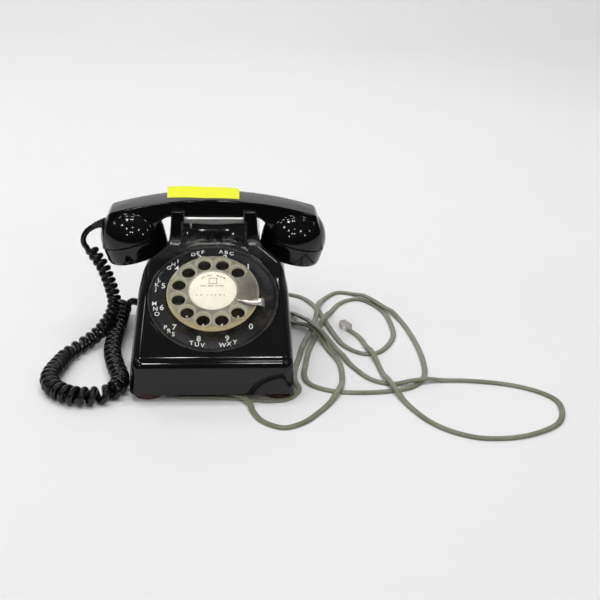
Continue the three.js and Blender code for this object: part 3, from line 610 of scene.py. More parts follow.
def wheel_plastic():
    """Clear plastic that has gone smoky and amber, with a film of grime; its bevels and hole walls carry painted
    light, paler and faintly glowing.
    """
    m = Nodes("smoky_clear_plastic")
    u, v, r = dial_uvr(m)
    blotch = m.noise(70, 6, 0.62)
    fine = m.noise(650, 3, 0.7)
    low = m.span(v, 0.006, -0.038)                                  # towards the bottom edge
    edge = m.span(r, 0.0335, 0.0381)
    col = m.mix(m.span(blotch, 0.3, 0.72), (0.215, 0.19, 0.145), (0.40, 0.385, 0.32))
    col = m.mix(m.math("MULTIPLY", m.span(m.noise(38, 4), 0.5, 0.7), 0.45), col, (0.24, 0.17, 0.085))
    g = m.n.new("ShaderNodeNewGeometry")
    # painted light: bevels and hole walls are painted paler and given a faint emission glow, standing in for light
    # passing through the plastic
    lit_wall_glow = m.span(m.dot(g.outputs["Normal"], DN), 0.93, 0.60)         # bevels and hole walls show the light in the plastic
    col = m.mix(m.math("MULTIPLY", lit_wall_glow, 0.85), col, (0.64, 0.62, 0.49))
    col = m.mix(m.math("MULTIPLY", m.math("MULTIPLY", edge, low), 0.9), col, (0.62, 0.47, 0.16))
    right = m.math("MULTIPLY", m.math("MULTIPLY", m.span(u, 0.018, 0.03), m.span(v, -0.016, 0.0)), m.span(v, 0.024, 0.008))
    col = m.mix(m.math("MULTIPLY", right, 0.6), col, (0.10, 0.10, 0.095))
    # painted glow: the walls emit a little light of their own
    m.set(Base_Color=col, Roughness=m.span(blotch, 0.3, 0.7, 0.14, 0.34), IOR=1.49, Emission_Color=(0.66, 0.63, 0.47), Emission_Strength=m.math("MULTIPLY", lit_wall_glow, 0.20))
    m.bump(m.math("ADD", m.math("MULTIPLY", blotch, 0.5), m.math("MULTIPLY", fine, 0.2)), 0.08, 0.0003)
    tr = m.n.new("ShaderNodeBsdfTransparent"); tr.inputs[0].default_value = (0.8, 0.74, 0.58, 1)
    mx = m.n.new("ShaderNodeMixShader")
    m.link(m.span(blotch, 0.3, 0.7, 0.72, 0.9), mx.inputs[0]); m.link(tr.outputs[0], mx.inputs[1]); m.link(m.bsdf.outputs[0], mx.inputs[2])
    m.link(mx.outputs[0], m.out.inputs["Surface"])
    return m.mat


def clear_plastic(name, tint=(0.86, 0.85, 0.8), rough=0.06, trans=0.95):
    m = Nodes(name)
    m.set(Base_Color=m.mix(m.span(m.noise(90, 4), 0.35, 0.75), tint, tuple(c * 0.86 for c in tint)),
          Roughness=m.span(m.noise(240, 3), 0.3, 0.7, rough * 0.6, rough * 2.0), IOR=1.47, Transmission_Weight=trans)
    return m.mat


def dial_black():
    """Number plate: black, rubbed, with a brown bloom around the wheel and the stop, and a painted highlight ring on
    the raised rim.
    """
    m = Nodes("dial_plate")
    u, v, r = dial_uvr(m)
    n = m.noise(55, 6, 0.6)
    spots = m.span(m.voronoi(330), 0.0, 0.22, 1.0, 0.0)
    near = m.math("MULTIPLY", m.span(r, 0.046, 0.038), m.span(n, 0.4, 0.72))
    br = m.math("MULTIPLY", near, m.span(v, 0.01, -0.03, 0.15, 0.85))
    side = m.math("MULTIPLY", m.math("MULTIPLY", m.span(u, 0.030, 0.042), m.span(v, 0.012, -0.006)), m.span(v, -0.042, -0.02))
    br = m.math("ADD", br, m.math("MULTIPLY", m.math("MULTIPLY", side, m.span(n, 0.42, 0.66)), 0.55), clamp=True)
    dust = m.math("MULTIPLY", m.math("MULTIPLY", spots, m.span(m.noise(120, 3), 0.5, 0.68)), 0.35)
    col = m.mix(br, (0.010, 0.010, 0.011), (0.085, 0.062, 0.033))
    col = m.mix(dust, col, (0.20, 0.18, 0.14))
    # painted highlight: a lighter grey ring on the raised rim stands in for the lamps' thin highlight line there
    rim_painted_highlight = m.math("MULTIPLY", m.span(r, 0.0526, 0.0530), m.span(r, 0.0544, 0.0540))
    col = m.mix(m.math("MULTIPLY", rim_painted_highlight, m.span(n, 0.3, 0.6, 0.1, 0.45)), col, (0.08, 0.078, 0.07))
    m.set(Base_Color=col, Roughness=m.span(n, 0.3, 0.7, 0.20, 0.36), IOR=1.5, Specular_IOR_Level=0.28)
    m.bump(m.noise(240, 4), 0.05, 0.0003)
    return m.mat


def paint_white():
    m = Nodes("dial_lettering")
    m.set(Base_Color=m.mix(m.span(m.noise(400, 3), 0.35, 0.7), (0.72, 0.71, 0.66), (0.86, 0.86, 0.83)), Roughness=0.45)
    return m.mat


def paper(name, color, rough=0.8, glow_painted=0.0):
    m = Nodes(name)
    n = m.noise(90, 5)
    # the emission here is painted light: a faint glow that brightens the paper
    m.set(Base_Color=m.mix(m.span(n, 0.35, 0.8), color, tuple(c * f for c, f in zip(color, (0.95, 0.93, 0.88)))), Roughness=rough,
          Emission_Color=color, Emission_Strength=glow_painted)
    m.bump(m.noise(1500, 2), 0.1, 0.0001)
    return m.mat


def rubber():
    m = Nodes("foot_rubber")
    n = m.noise(130, 5)
    m.set(Base_Color=m.mix(m.span(n, 0.3, 0.75), (0.045, 0.012, 0.010), (0.11, 0.035, 0.028)), Roughness=m.span(n, 0.3, 0.7, 0.5, 0.75))
    m.bump(m.noise(700, 3), 0.15, 0.0003)
    return m.mat


def grey_cord():
    m = Nodes("line_cord_vinyl")
    n = m.noise(38, 5)
    f = m.noise(900, 2)
    m.set(Base_Color=m.mix(m.span(n, 0.3, 0.75), (0.160, 0.162, 0.112), (0.265, 0.268, 0.195)),
          Roughness=m.span(f, 0.3, 0.7, 0.15, 0.3), IOR=1.5)
    m.bump(f, 0.06, 0.0002)
    return m.mat


def see_through(name, opacity, color, rough, veil=0.03):
    """Thin clear plastic: light passes straight through, with a sharp reflection and a little dust."""
    m = Nodes(name)
    tr = m.n.new("ShaderNodeBsdfTransparent"); tr.inputs[0].default_value = tuple(color) + (1,)
    m.set(Base_Color=color, Roughness=rough, IOR=1.5)
    fr = m.n.new("ShaderNodeFresnel"); fr.inputs[0].default_value = 1.45
    f = m.math("ADD", m.math("MULTIPLY", fr.outputs[0], 0.8), m.math("ADD", opacity, m.math("MULTIPLY", m.span(m.noise(180, 5), 0.45, 0.75), veil)), clamp=True)
    mx = m.n.new("ShaderNodeMixShader")
    m.link(f, mx.inputs[0]); m.link(tr.outputs[0], mx.inputs[1]); m.link(m.bsdf.outputs[0], mx.inputs[2])
    m.link(mx.outputs[0], m.out.inputs["Surface"])
    return m.mat


MAT = {
    "window": see_through("card_window", 0.015, (0.99, 0.985, 0.965), 0.08),
    "clearish": see_through("plunger_plastic", 0.55, (0.55, 0.52, 0.45), 0.2, 0.2),
    "housing": black_plastic("housing_plastic", 0.0030, 0.022, 0.07, extra=cradle_dust_and_sheen),
    "handset": black_plastic("handset_plastic", 0.0026, 0.030, 0.07),
    "cap": black_plastic("cap_plastic", 0.0030, 0.02, 0.08),
    "plate": dial_black(),
    "wheel": wheel_plastic(),
    "clear": clear_plastic("clear_plastic"),
    "plug": clear_plastic("plug_plastic", (0.9, 0.88, 0.84), 0.08, 0.9),
    "white": paint_white(),
    # painted light: the card glows faintly through its emission, to read whiter
    "card": paper("card_paper", (0.95, 0.925, 0.84), 0.8, 0.10),
    "ink": paper("card_print", (0.09, 0.085, 0.08)),
    "ink_faint": paper("card_pencil", (0.46, 0.43, 0.37)),
    "rubber": rubber(),
    "cord": black_plastic("cord_black", 0.0050, 0.015, 0.13),
    "flat": grey_cord(),
    "chrome": metal("bright_metal", (0.86, 0.83, 0.79), 0.30, 0.2),
    "steel": metal("plated_steel", (0.55, 0.55, 0.53), 0.34, 0.4),
    "zinc": metal("zinc_metal", (0.45, 0.46, 0.47), 0.45, 0.4),
    "brass": metal("brass_metal", (0.62, 0.45, 0.18), 0.30, 0.4),
    "gold": metal("contact_gold", (0.83, 0.60, 0.22), 0.22, 0.1),
    "copper": metal("coil_winding", (0.42, 0.16, 0.07), 0.4, 0.3, 0.6),
    "grey": black_plastic("grey_plastic", 0.11, 0.02, 0.4),
    # painted light: the label glows faintly through its emission
    "label": paper("label_paper", (0.84, 0.88, 0.015), 0.65, 0.08),
}

# CAD nodes that stay as they are get a real finish and eased edges
CAD_FINISH = {
    "base_plate": "steel", "housing_screw_front": "zinc", "housing_screw_rear": "zinc", "dial_frame": "zinc",
    "governor_cup": "zinc", "pulse_contact_springs": "brass", "dial_return_spring": "steel", "dial_bracket_left": "steel",
    "dial_bracket_right": "steel", "dial_shaft": "steel", "main_gear": "brass", "idler_gear": "brass", "governor_rotor": "brass",
    "ringer_frame": "steel", "ringer_coil": "copper", "gong_front": "brass", "gong_rear": "brass", "gong_post_front": "zinc",
    "gong_post_rear": "zinc", "clapper": "steel", "loudness_wheel": "grey", "network_block": "grey", "network_terminals": "brass",
    "hookswitch_bracket": "steel", "hook_lever": "steel", "hookswitch_contact_stack": "brass", "hook_return_spring": "steel",
    "transmitter_capsule": "zinc", "receiver_capsule": "zinc", "transmitter_contact_cup": "grey",
    "handset_cord_anchor": "cord", "line_cord_grommet": "cord",
}
for name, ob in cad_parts.items():
    key = CAD_FINISH.get(name, "housing")
    ob.data.materials.clear()
    ob.data.materials.append(MAT[key])
    if name in CAD_FINISH:
        bv = ob.modifiers.new("eased", "BEVEL")
        bv.width = 0.00025
        bv.segments = 2
        bv.limit_method = "ANGLE"
        bv.angle_limit = 40 * D


def piece(ob, body, nodes=()):
    if body:
        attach(ob, body)
    if nodes:
        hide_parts(*nodes)
    return ob


def outward(v, q):
    """Quads or faces turned so that the enclosed volume is positive."""
    v = np.asarray(v, float); q = np.asarray(q)
    a, b, c = v[q[:, 0]], v[q[:, 1]], v[q[:, 2]]
    vol = np.einsum("ij,ij->i", a, np.cross(b, c)).sum()
    d = v[q[:, 3]] if q.shape[1] == 4 else None
    if d is not None:
        vol += np.einsum("ij,ij->i", a, np.cross(c, d)).sum()
    return q if vol > 0 else q[:, ::-1]


# ------------------------------------------------------------------ housing
V, Q, N = polygonise(shell_field, (-70, -104, -1), (70, 104, 118), 1.15)
housing = from_arrays("housing", V, outward(V, Q), [MAT["housing"]], N)
piece(housing, "base", ["housing_shell"])

# ------------------------------------------------------------------ handset
V, Q, N = polygonise(handset_field, (-108, 4, 62), (106, 65, 128), 0.95)
handle = from_arrays("handset_grip", V, outward(V, Q), [MAT["handset"]], N)
piece(handle, "handset", ["handset_handle"])


def cap(s, name, node):
    prof = rounded([(0, 0.6 - CAP_DEEP), (12, 0.4 - CAP_DEEP, 3), (22.5, -CAP_DEEP, 3), (26.4, 0.8 - CAP_DEEP, 2.0), (27.4, 4.0 - CAP_DEEP, 2.5), (28.2, 8.2, 0.4), (25.4, 8.2, 0.3), (24.4, 3.0 - CAP_DEEP, 1.0), (0, 2.8 - CAP_DEEP)], 0.5, 4, closed=False)
    v, f = lathe_mesh(prof, 96, close=False)
    ob = make(name, cup_to_world(v, s), f, [MAT["cap"]])
    fix_normals(ob); autosmooth(ob, 40)
    cut = []
    rings = [(0, 1), (5.4, 6), (10.6, 12)] if s > 0 else [(0, 1), (6.0, 6), (12.0, 12), (17.6, 18)]
    for r, n in rings:
        for i in range(n):
            a = 2 * math.pi * i / n
            cv, cf = lathe_mesh([(0, -3 - CAP_DEEP), (1.15, -3 - CAP_DEEP), (1.15, 6 - CAP_DEEP), (0, 6 - CAP_DEEP)], 14)
            cv = cv + np.array([r * math.cos(a), r * math.sin(a), 0])
            cut.append((cup_to_world(cv, s), cf))
    vv = np.concatenate([c[0] for c in cut]); ff = []; k = 0
    for c, f in cut:
        ff += [tuple(i + k for i in q) for q in f]; k += len(c)
    tool = make(name + "_holes", vv, ff)
    fix_normals(tool)
    m = ob.modifiers.new("holes", "BOOLEAN"); m.object = tool; m.operation = "DIFFERENCE"; m.solver = "EXACT"
    bake(ob)
    bpy.data.objects.remove(tool)
    autosmooth(ob, 40)
    piece(ob, "handset", [node])
    return ob


def bake(ob):
    dg = bpy.context.evaluated_depsgraph_get()
    me = bpy.data.meshes.new_from_object(ob.evaluated_get(dg), depsgraph=dg)
    ob.modifiers.clear()
    ob.data = me


cap(-1, "mouthpiece_cap", "transmitter_cap")
cap(1, "earpiece_cap", "receiver_cap")

# blank paper label laid over the handset, its back edge lifting off
def label_sheet():
    nu, nv = 40, 16
    V = []
    for side in (0.0, 0.13):
        for i in range(nu + 1):
            x = -40.8 + 62.4 * i / nu
            y0 = np.interp(x, [-40.8, -8, 21.6], [31.0, 24.6, 24.8])
            lift = np.interp(x, [-40.8, -8, 21.6], [4.6, 2.5, 1.5])
            for j in range(nv + 1):
                t = j / nv
                y = y0 + (50.2 - y0) * t + 0.25 * math.sin(x / 9.0)
                dy = abs(y - GY)
                xx = x - HX
                zs = 123.9 - 14.0 * (xx / 92) ** 2 + 0.8 * (1 - min((dy / 16.6) ** 2, 1.5)) - LEAN * xx
                z = zs + 0.1 + lift * t * t + 0.12 * t * math.sin(x / 5.3) + side
                V.append((x - 0.9 * t * (1 if i == 0 else 0), y, z))
    F, n1 = [], (nu + 1) * (nv + 1)
    for i in range(nu):
        for j in range(nv):
            a = i * (nv + 1) + j
            b = a + nv + 1
            F.append((a, a + 1, b + 1, b))
            F.append((n1 + a, n1 + b, n1 + b + 1, n1 + a + 1))
    for i in range(nu):
        for j in (0, nv):
            a = i * (nv + 1) + j
            b = a + nv + 1
            F.append((a, b, n1 + b, n1 + a) if j == 0 else (a, n1 + a, n1 + b, b))
    for j in range(nv):
        for i in (0, nu):
            a = i * (nv + 1) + j
            F.append((a, n1 + a, n1 + a + 1, a + 1) if i == 0 else (a, a + 1, n1 + a + 1, n1 + a))
    return V, F


v, f = label_sheet()
ob = make("paper_label", v, f, [MAT["label"]])
fix_normals(ob)
autosmooth(ob, 40)
piece(ob, "handset", ())

# strain relief where the coiled cord enters the handset, and a plain length of cord
bush = catmull([(-95.2, 34.5, 99.3), (-99.5, 34.4, 97.9), (-103.4, 34.4, 96.5), (-107.2, 34.4, 94.6)], 0.5)
nb = len(bush)
sc = np.array([4.2 - 1.7 * (i / (nb - 1)) + 0.28 * (math.sin(i * 1.15) if i > 6 else 0) for i in range(nb)])
v, f = sweep_mesh(bush, circle(1.0, 20), scale=sc)
ob = make("cord_relief", v, f, [MAT["cord"]]); fix_normals(ob); autosmooth(ob, 50)
piece(ob, "handset", ["handset_cord_bushing"])


# ------------------------------------------------------------------ dial, fixed pieces
def dial_piece(name, v, f, mats, body="base", nodes=(), sharp=40):
    ob = make(name, dial_to_world(v), f, mats)
    fix_normals(ob)
    autosmooth(ob, sharp)
    return piece(ob, body, nodes)


def plate_z(r):
    return np.interp(r, [36.5, 40, 44, 50.4, 51.4, 52.2, 53.4, 54.2], [0.6, 1.75, 1.75, 1.35, 0.75, 0.75, 1.25, 1.1])


prof = [(11, -2.4), (46, -2.4), (46, -3), (49.6, -3), (49.6, -1.2), (54.6, -1.2), (54.6, 0.5, 0.7), (53.9, 1.25, 0.5),
        (52.9, 1.25, 0.4), (52.1, 0.75, 0.3), (51.4, 0.75, 0.3), (50.4, 1.35, 0.4), (44, 1.75, 3), (40, 1.75, 1), (36.5, 0.6, 1), (11, 0.6)]
v, f = lathe_mesh(rounded(prof, 0.15, 4), 160)
dial_piece("dial_plate", v, f, [MAT["plate"]], "base", ["number_plate"], 60)

glyph_verts, glyph_faces = [], []


def glyph(ch, size, r, ang, lift=0.14, weight=0.0):
    cu = bpy.data.curves.new("glyph", "FONT")
    cu.body = ch; cu.size = size * 10; cu.align_x = "CENTER"; cu.align_y = "CENTER"
    cu.offset = weight * 10; cu.resolution_u = 5
    ob = bpy.data.objects.new("glyph", cu)
    bpy.context.scene.collection.objects.link(ob)
    bpy.context.view_layer.update()
    dg = bpy.context.evaluated_depsgraph_get()
    me = bpy.data.meshes.new_from_object(ob.evaluated_get(dg), depsgraph=dg)
    bm = bmesh.new(); bm.from_mesh(me)
    bmesh.ops.remove_doubles(bm, verts=bm.verts, dist=1e-5)
    ret = bmesh.ops.extrude_face_region(bm, geom=bm.faces[:])
    for g in ret["geom"]:
        if isinstance(g, bmesh.types.BMVert):
            g.co.z += 1.0
    bmesh.ops.recalc_face_normals(bm, faces=bm.faces)
    co = np.array([x.co for x in bm.verts], float)
    if len(co):
        mid = (co[:, :2].min(0) + co[:, :2].max(0)) / 2
        co[:, :2] -= mid
        co[:, :2] *= 0.1
        cx, cy = r * math.cos(ang * D), r * math.sin(ang * D)
        out = np.stack([co[:, 0] + cx, co[:, 1] + cy, co[:, 2]], 1)
        rr = np.hypot(out[:, 0], out[:, 1])
        out[:, 2] = plate_z(rr) - 0.1 + (0.1 + lift) * co[:, 2]
        k = sum(len(x) for x in glyph_verts)
        glyph_verts.append(out)
        bm.verts.index_update()
        glyph_faces.extend([tuple(x.index + k for x in fc.verts) for fc in bm.faces])
    bm.free()
    bpy.data.objects.remove(ob); bpy.data.meshes.remove(me); bpy.data.curves.remove(cu)


DIGITS = [("1", "", 47.5, ()), ("2", "ABC", 77.0, (82.9, 77.4, 71.9)), ("3", "DEF", 106.2, (111.0, 106.0, 101.2)),
          ("4", "GHI", 135.6, (140.6, 134.4, 128.6)), ("5", "JKL", 164.2, (170.2, 164.2, 158.0)), ("6", "MNO", 194.0, (187.4, 193.9, 200.2)),
          ("7", "PRS", 224.4, (218.4, 223.9, 229.6)), ("8", "TUV", 255.3, (249.9, 255.4, 260.9)), ("9", "WXY", 286.0, (279.8, 286.2, 292.0)),
          ("0", "", 316.2, ())]
for d, letters, a, angs in DIGITS:
    glyph(d, 7.4, 43.1, a, weight=0.10)
    for ch, la in zip(letters, angs):
        glyph(ch, 5.5, 48.5, la, weight=0.06)
ob = make("dial_characters", dial_to_world(np.concatenate(glyph_verts)), glyph_faces, [MAT["white"]], smooth=False)
piece(ob, "base", ())

# white index dots, under the lower holes
vs, fs, k = [], [], 0
for a in (221.7, 254.2, 285.5, 317.2):
    v, f = lathe_mesh([(0, 0.3), (0.95, 0.3), (0.95, 0.72), (0.7, 0.86), (0, 0.9)], 20)
    v = v + np.array([28.3 * math.cos(a * D), 28.3 * math.sin(a * D), 0])
    vs.append(v); fs += [tuple(i + k for i in q) for q in f]; k += len(v)
dial_piece("dial_dots", np.concatenate(vs), fs, [MAT["white"]], "base", ())


# finger stop: upright plate, bent over into an arm that tapers and curls to a point
def finger_stop():
    rows = []
    # (u, z) of the middle line, upper edge v, lower edge v, how far the arm's section is dished
    line = [(41.5, 1.6, -9.4, -17.4, 0), (41.6, 6, -9.4, -17.4, 0), (41.7, 9.4, -9.4, -17.5, 0), (41.6, 11.1, -9.3, -17.6, 0.1),
            (40.9, 12.4, -9.3, -17.7, 0.3), (39.6, 12.9, -9.4, -17.5, 0.5), (38.2, 13.0, -10.2, -17.2, 0.7), (36.6, 12.9, -10.9, -16.8, 0.8), (34.9, 12.8, -11.2, -16.5, 0.8),
            (32.6, 12.6, -11.4, -15.9, 0.7), (30.8, 12.4, -11.5, -15.3, 0.6), (28.2, 12.2, -11.4, -14.4, 0.4), (25.7, 12.1, -11.1, -13.4, 0.3),
            (23.0, 11.9, -10.5, -12.0, 0.1), (20.3, 11.8, -9.8, -10.6, 0.0)]
    L = np.array(line, float)
    P = catmull(np.stack([L[:, 0], L[:, 1], np.zeros(len(L))], 1), 0.5)
    idx = np.linspace(0, 1, len(P))
    s0 = np.concatenate([[0], np.cumsum(np.hypot(np.diff(L[:, 0]), np.diff(L[:, 1])))]); s0 /= s0[-1]
    hi, lo, dish = (np.interp(idx, s0, L[:, c]) for c in (2, 3, 4))
    T = np.gradient(P[:, :2], axis=0); T /= np.linalg.norm(T, axis=1)[:, None]
    Nn = np.stack([T[:, 1], -T[:, 0]], 1)          # outer side of the bend
    m = 9
    V = []
    for i in range(len(P)):
        for side in (0, 1):
            for j in range(m):
                w = (j / (m - 1)) if side == 0 else 1 - j / (m - 1)
                vv = hi[i] + (lo[i] - hi[i]) * w
                e = 0.55 - 0.12 * (abs(2 * w - 1) ** 6)
                off = (e if side == 0 else -e) - dish[i] * (1 - (2 * w - 1) ** 2)
                V.append((P[i, 0] + Nn[i, 0] * off, vv, P[i, 1] + Nn[i, 1] * off))
    M2 = 2 * m
    F = []
    for i in range(len(P) - 1):
        for j in range(M2):
            a, b = i * M2 + j, i * M2 + (j + 1) % M2
            F.append((a, b, b + M2, a + M2))
    F.append(tuple(range(M2))[::-1]); F.append(tuple((len(P) - 1) * M2 + j for j in range(M2)))
    return np.array(V), F


v, f = finger_stop()
dial_piece("finger_stop_arm", v, f, [MAT["chrome"]], "base", ["finger_stop"], 50)


# ------------------------------------------------------------------ dial, turning pieces
def wheel_field(x, y, z):
    r = np.hypot(x, y)
    top = (z - (10.6 - 2.3 * np.clip((r - 33.4) / 4.7, 0, 1) ** 1.5)) * np.where(r > 33.4, 0.86, 1.0)
    d = rmax(rmax(r - 38.1, top, 0.9), 6.3 - z, 0.5)
    d = rmax(d, -rmax(r - 20.8, 9.8 - z, 0.2), 0.35)
    a = np.arctan2(y, x)
    k = np.clip(np.round((np.mod(a, 2 * math.pi) / D - 45) / 30), 0, 9)
    best = None
    for kk in (k,):
        ang = (45 + 30 * kk) * D
        q = np.hypot(x - 29.1 * np.cos(ang), y - 29.1 * np.sin(ang))
        hole = q - (5.65 + np.clip(z - 8.2, 0, 4) * 0.55)
        d2 = rmax(d, -hole * 0.88, 0.3)
        lip = np.maximum(np.abs(q - 7.45) - 0.28, z - 10.82)
        d2 = rmin(d2, rmax(lip, 9.4 - z, 0.1), 0.2)
        best = d2
    # first sector wraps past 360
    ang = 45 * D
    return best


V, Q, N = polygonise(wheel_field, (-39, -39, 5.4), (39, 39, 11.6), 0.42)
Nw = N[:, :1] * np.array([1.0, 0, 0]) + N[:, 1:2] * DU + N[:, 2:3] * DN
wheel = from_arrays("finger_wheel_disc", dial_to_world(V), outward(dial_to_world(V) - DIAL, Q), [MAT["wheel"]], Nw)
piece(wheel, "dial", ["finger_wheel"])

v, f = lathe_mesh(rounded([(0, 10.1), (19.45, 10.1), (19.45, 10.9), (0, 10.9)], 0.1, 2, closed=False), 96, close=False)
dial_piece("card_disc", v, f, [MAT["card"]], "dial", ["number_card"])

# plain rules on the card, where a card of this kind carries its wording and number
vs, fs, k = [], [], 0


def rule(points, w, z=10.9, t=0.05):
    global k
    P = np.array(points, float)
    T = np.gradient(P, axis=0); T /= np.linalg.norm(T, axis=1)[:, None]
    S = np.stack([-T[:, 1], T[:, 0]], 1)
    n = len(P)
    V = []
    for i in range(n):
        for s, zz in ((-1, z), (1, z), (1, z + t), (-1, z + t)):
            V.append((P[i, 0] + S[i, 0] * s * w / 2, P[i, 1] + S[i, 1] * s * w / 2, zz))
    F = []
    for i in range(n - 1):
        for j in range(4):
            a, b = i * 4 + j, i * 4 + (j + 1) % 4
            F.append((a, b, b + 4, a + 4))
    F.append((3, 2, 1, 0)); F.append(tuple((n - 1) * 4 + j for j in range(4)))
    vs.append(np.array(V)); fs.extend([tuple(i + k for i in q) for q in F]); k += len(V)


def arc(r, a0, a1, n=20):
    return [(r * math.cos(a * D), r * math.sin(a * D)) for a in np.linspace(a0, a1, n)]


for a0, a1 in ((128, 114), (110, 94), (80, 71), (67, 62), (58, 50)):
    rule(arc(15.6, a0, a1), 1.15 if a0 < 90 else 0.75)
for x0, x1 in ((-10.6, -5.6), (-4.2, 0.6), (2.0, 8.8)):
    rule([(x0, 4.6), (x1, 4.6)], 0.7)
for p in ([(-3.2, 12.6), (3.2, 12.6)], [(3.2, 12.6), (3.2, 6.8)], [(3.2, 6.8), (-3.2, 6.8)], [(-3.2, 6.8), (-3.2, 12.6)]):
    rule(p, 0.5)
dial_piece("card_rules", np.concatenate(vs), fs, [MAT["ink"]], "dial", ())
vs, fs, k = [], [], 0
for i, x in enumerate((-13.6, -10.2, -4.6, -1.8, 1.4, 5.2, 9.0)):
    rule([(x, -4.6), (x + (1.6 if i % 2 else 1.1), -4.6)], 1.2)
dial_piece("card_marks", np.concatenate(vs), fs, [MAT["ink_faint"]], "dial", ())

v, f = lathe_mesh(rounded([(0, 11.25), (19.8, 11.25), (20.0, 10.6, 0.2), (20.9, 10.6, 0.3), (20.9, 11.4, 0.5), (20.0, 12.1, 0.8), (10, 12.4, 4), (0, 12.5)], 0.2, 4, closed=False), 96, close=False)
dial_piece("card_window", v, f, [MAT["window"]], "dial", ["card_retainer"], 50)

# ------------------------------------------------------------------ plungers in the saddle
for s, nm in ((-1, "left"), (1, "right")):
    prof = rounded([(0, 81.7), (1.8, 81.7), (1.8, 83.4), (5.1, 83.4), (5.1, 85.4), (4, 85.4), (4, 107.0, 1.1), (3.0, 108.1, 0.8), (0, 108.2)], 0.15, 4, closed=False)
    v, f = lathe_mesh(prof, 40, close=False)
    ob = make("plunger_pin_" + nm, v + np.array([s * PLUNGER_X, GY, 0]), f, [MAT["clearish"]])
    fix_normals(ob); autosmooth(ob, 40)
    piece(ob, "plunger_" + nm[0], ["plunger_" + nm])

# ------------------------------------------------------------------ feet
for sx, sy, nm in ((-1, -1, "front_left"), (1, -1, "front_right"), (-1, 1, "rear_left"), (1, 1, "rear_right")):
    prof = rounded([(0, DESK, 0), (9.6, DESK, 0.2), (10.0, DESK + 0.35, 0.2), (11.4, DESK, 0.5), (12.0, DESK + 1.2, 0.8), (11.7, 0.2, 1.0), (11.2, 0.85, 0.5), (8.4, 0.9), (8.4, 1.3), (3.0, 1.3), (3.0, 3.3), (4.2, 3.3), (4.2, 4.6), (0, 4.6)], 0.2, 4, closed=False)
    v, f = lathe_mesh(prof, 64, close=False)
    ob = make("foot_pad_" + nm, v + np.array([sx * 52.5, sy * 87.0, 0]), f, [MAT["rubber"]])
    fix_normals(ob); autosmooth(ob, 40)
    piece(ob, "base", ["foot_" + nm])

# ------------------------------------------------------------------ coiled handset cord
COIL = [(-106.0, 34.4, 95.2), (-111.0, 34.4, 91.8), (-114.8, 34.2, 86.5), (-115.6, 33.8, 81), (-113.4, 33.2, 76.6), (-108.6, 32.4, 73.0), (-104.2, 31.8, 67), (-99.3, 31, 58.5),
        (-95.2, 31, 46.5), (-92.3, 31, 35), (-90.9, 30, 25.5), (-91.8, 25, 18.6), (-95.6, 17, 12.6), (-101, 8, 7.2), (-109.5, -2.6, 3.0), (-119, -18.5, 2.4), (-126.5, -35, 2.4),
        (-130, -49, 2.4), (-133.2, -64, 2.4), (-133, -79, 2.4), (-127, -92, 2.4), (-118.5, -100.5, 2.4), (-108.3, -105.5, 2.4), (-97, -105.8, 2.4), (-86.5, -102.5, 2.4),
        (-79, -94, 2.4), (-76, -78, 2.4), (-82.5, -52, 2.4), (-88, -25, 2.4), (-88.8, 7, 2.4), (-88, 34, 2.6), (-87.4, 50, 3.4), (-86, 60, 6.4), (-82.6, 64.5, 9.4),
        (-78, 66.4, 9.6), (-73, 67, 7.6), (-67.5, 67.0, 5.7), (-60, 67, 5)]


def coiled_cord():
    P = catmull(COIL, 0.25)
    s = np.concatenate([[0], np.cumsum(np.linalg.norm(np.diff(P, axis=0), axis=1))])
    T, S, W = frames(P)
    total = s[-1]
    r_wire = 2.62
    # arc length at which the coils start and stop, and the two places where it has been pulled open
    start, stop = 26.0, total - 24.0
    def near(p):
        return s[np.argmin(((P - np.array(p)) ** 2).sum(1))]
    opens = [(near((-119, -18, 2.4)), 16, 2.6), (near((-86, -101, 2.4)), 9, 2.6)]
    marks = [start, near((-92, 25, 18.6)), near((-120, -20, 2.4)), near((-131, -60, 2.4)), near((-122, -97, 2.4)), near((-104, -105, 2.4)), near((-79, -94, 2.4)), near((-86, -60, 2.4)), near((-88, -25, 2.4))]
    fat = np.interp(s, marks, [0.98, 0.98, 1.10, 1.12, 1.12, 1.14, 1.18, 1.26, 1.26])
    pitch = np.interp(s, marks, [5.9, 5.9, 7.6, 7.4, 7.0, 7.1, 7.8, 8.9, 8.9]) + 0.3 * np.sin(s / 17.0) + sum(h * np.exp(-((s - c) / w) ** 2) for c, w, h in opens)
    r_coil = np.interp(s, [start, near((-92, 25, 18.6)), near((-126, -35, 2.4)), near((-133, -70, 2.4)), near((-108, -105, 2.4)), near((-79, -94, 2.4)), near((-88, -25, 2.4))],
                       [3.9, 4.1, 4.9, 5.6, 5.6, 5.1, 4.6])
    rad = r_coil * np.clip((s - start) / 7 + 0.5, 0, 1) ** 1 * np.clip((stop - s) / 7 + 0.5, 0, 1)
    rad = np.where(rad < 1e-3, 0, rad) * (1 - 0.10 * sum(np.exp(-((s - c) / w) ** 2) for c, w, h in opens))
    live = (rad > 0).astype(float)
    phase = np.concatenate([[0], np.cumsum(np.diff(s) * 2 * math.pi / pitch[:-1] * np.clip(rad[:-1] / r_coil[:-1], 0, 1))])
    H = P + rad[:, None] * (np.cos(phase)[:, None] * S + np.sin(phase)[:, None] * W)
    # the coils rest on the desk
    lift = np.maximum(0, (DESK + r_wire * fat + 0.02) - H[:, 2])
    H[:, 2] += lift
    L = np.concatenate([[0], np.cumsum(np.linalg.norm(np.diff(H, axis=0), axis=1))])
    n = int(L[-1] / (1.35))
    t = np.linspace(0, L[-1], n + 1)
    C = np.stack([np.interp(t, L, H[:, c]) for c in range(3)], 1)
    for _ in range(1):
        C[1:-1] = 0.25 * C[:-2] + 0.5 * C[1:-1] + 0.25 * C[2:]
    return sweep_mesh(C, circle(r_wire, 10), scale=np.interp(t, L, fat))


v, f = coiled_cord()
cord = make("coiled_cord", v, f, [MAT["cord"]])
fix_normals(cord); autosmooth(cord, 60)
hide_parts("handset_cord")
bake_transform(cord)

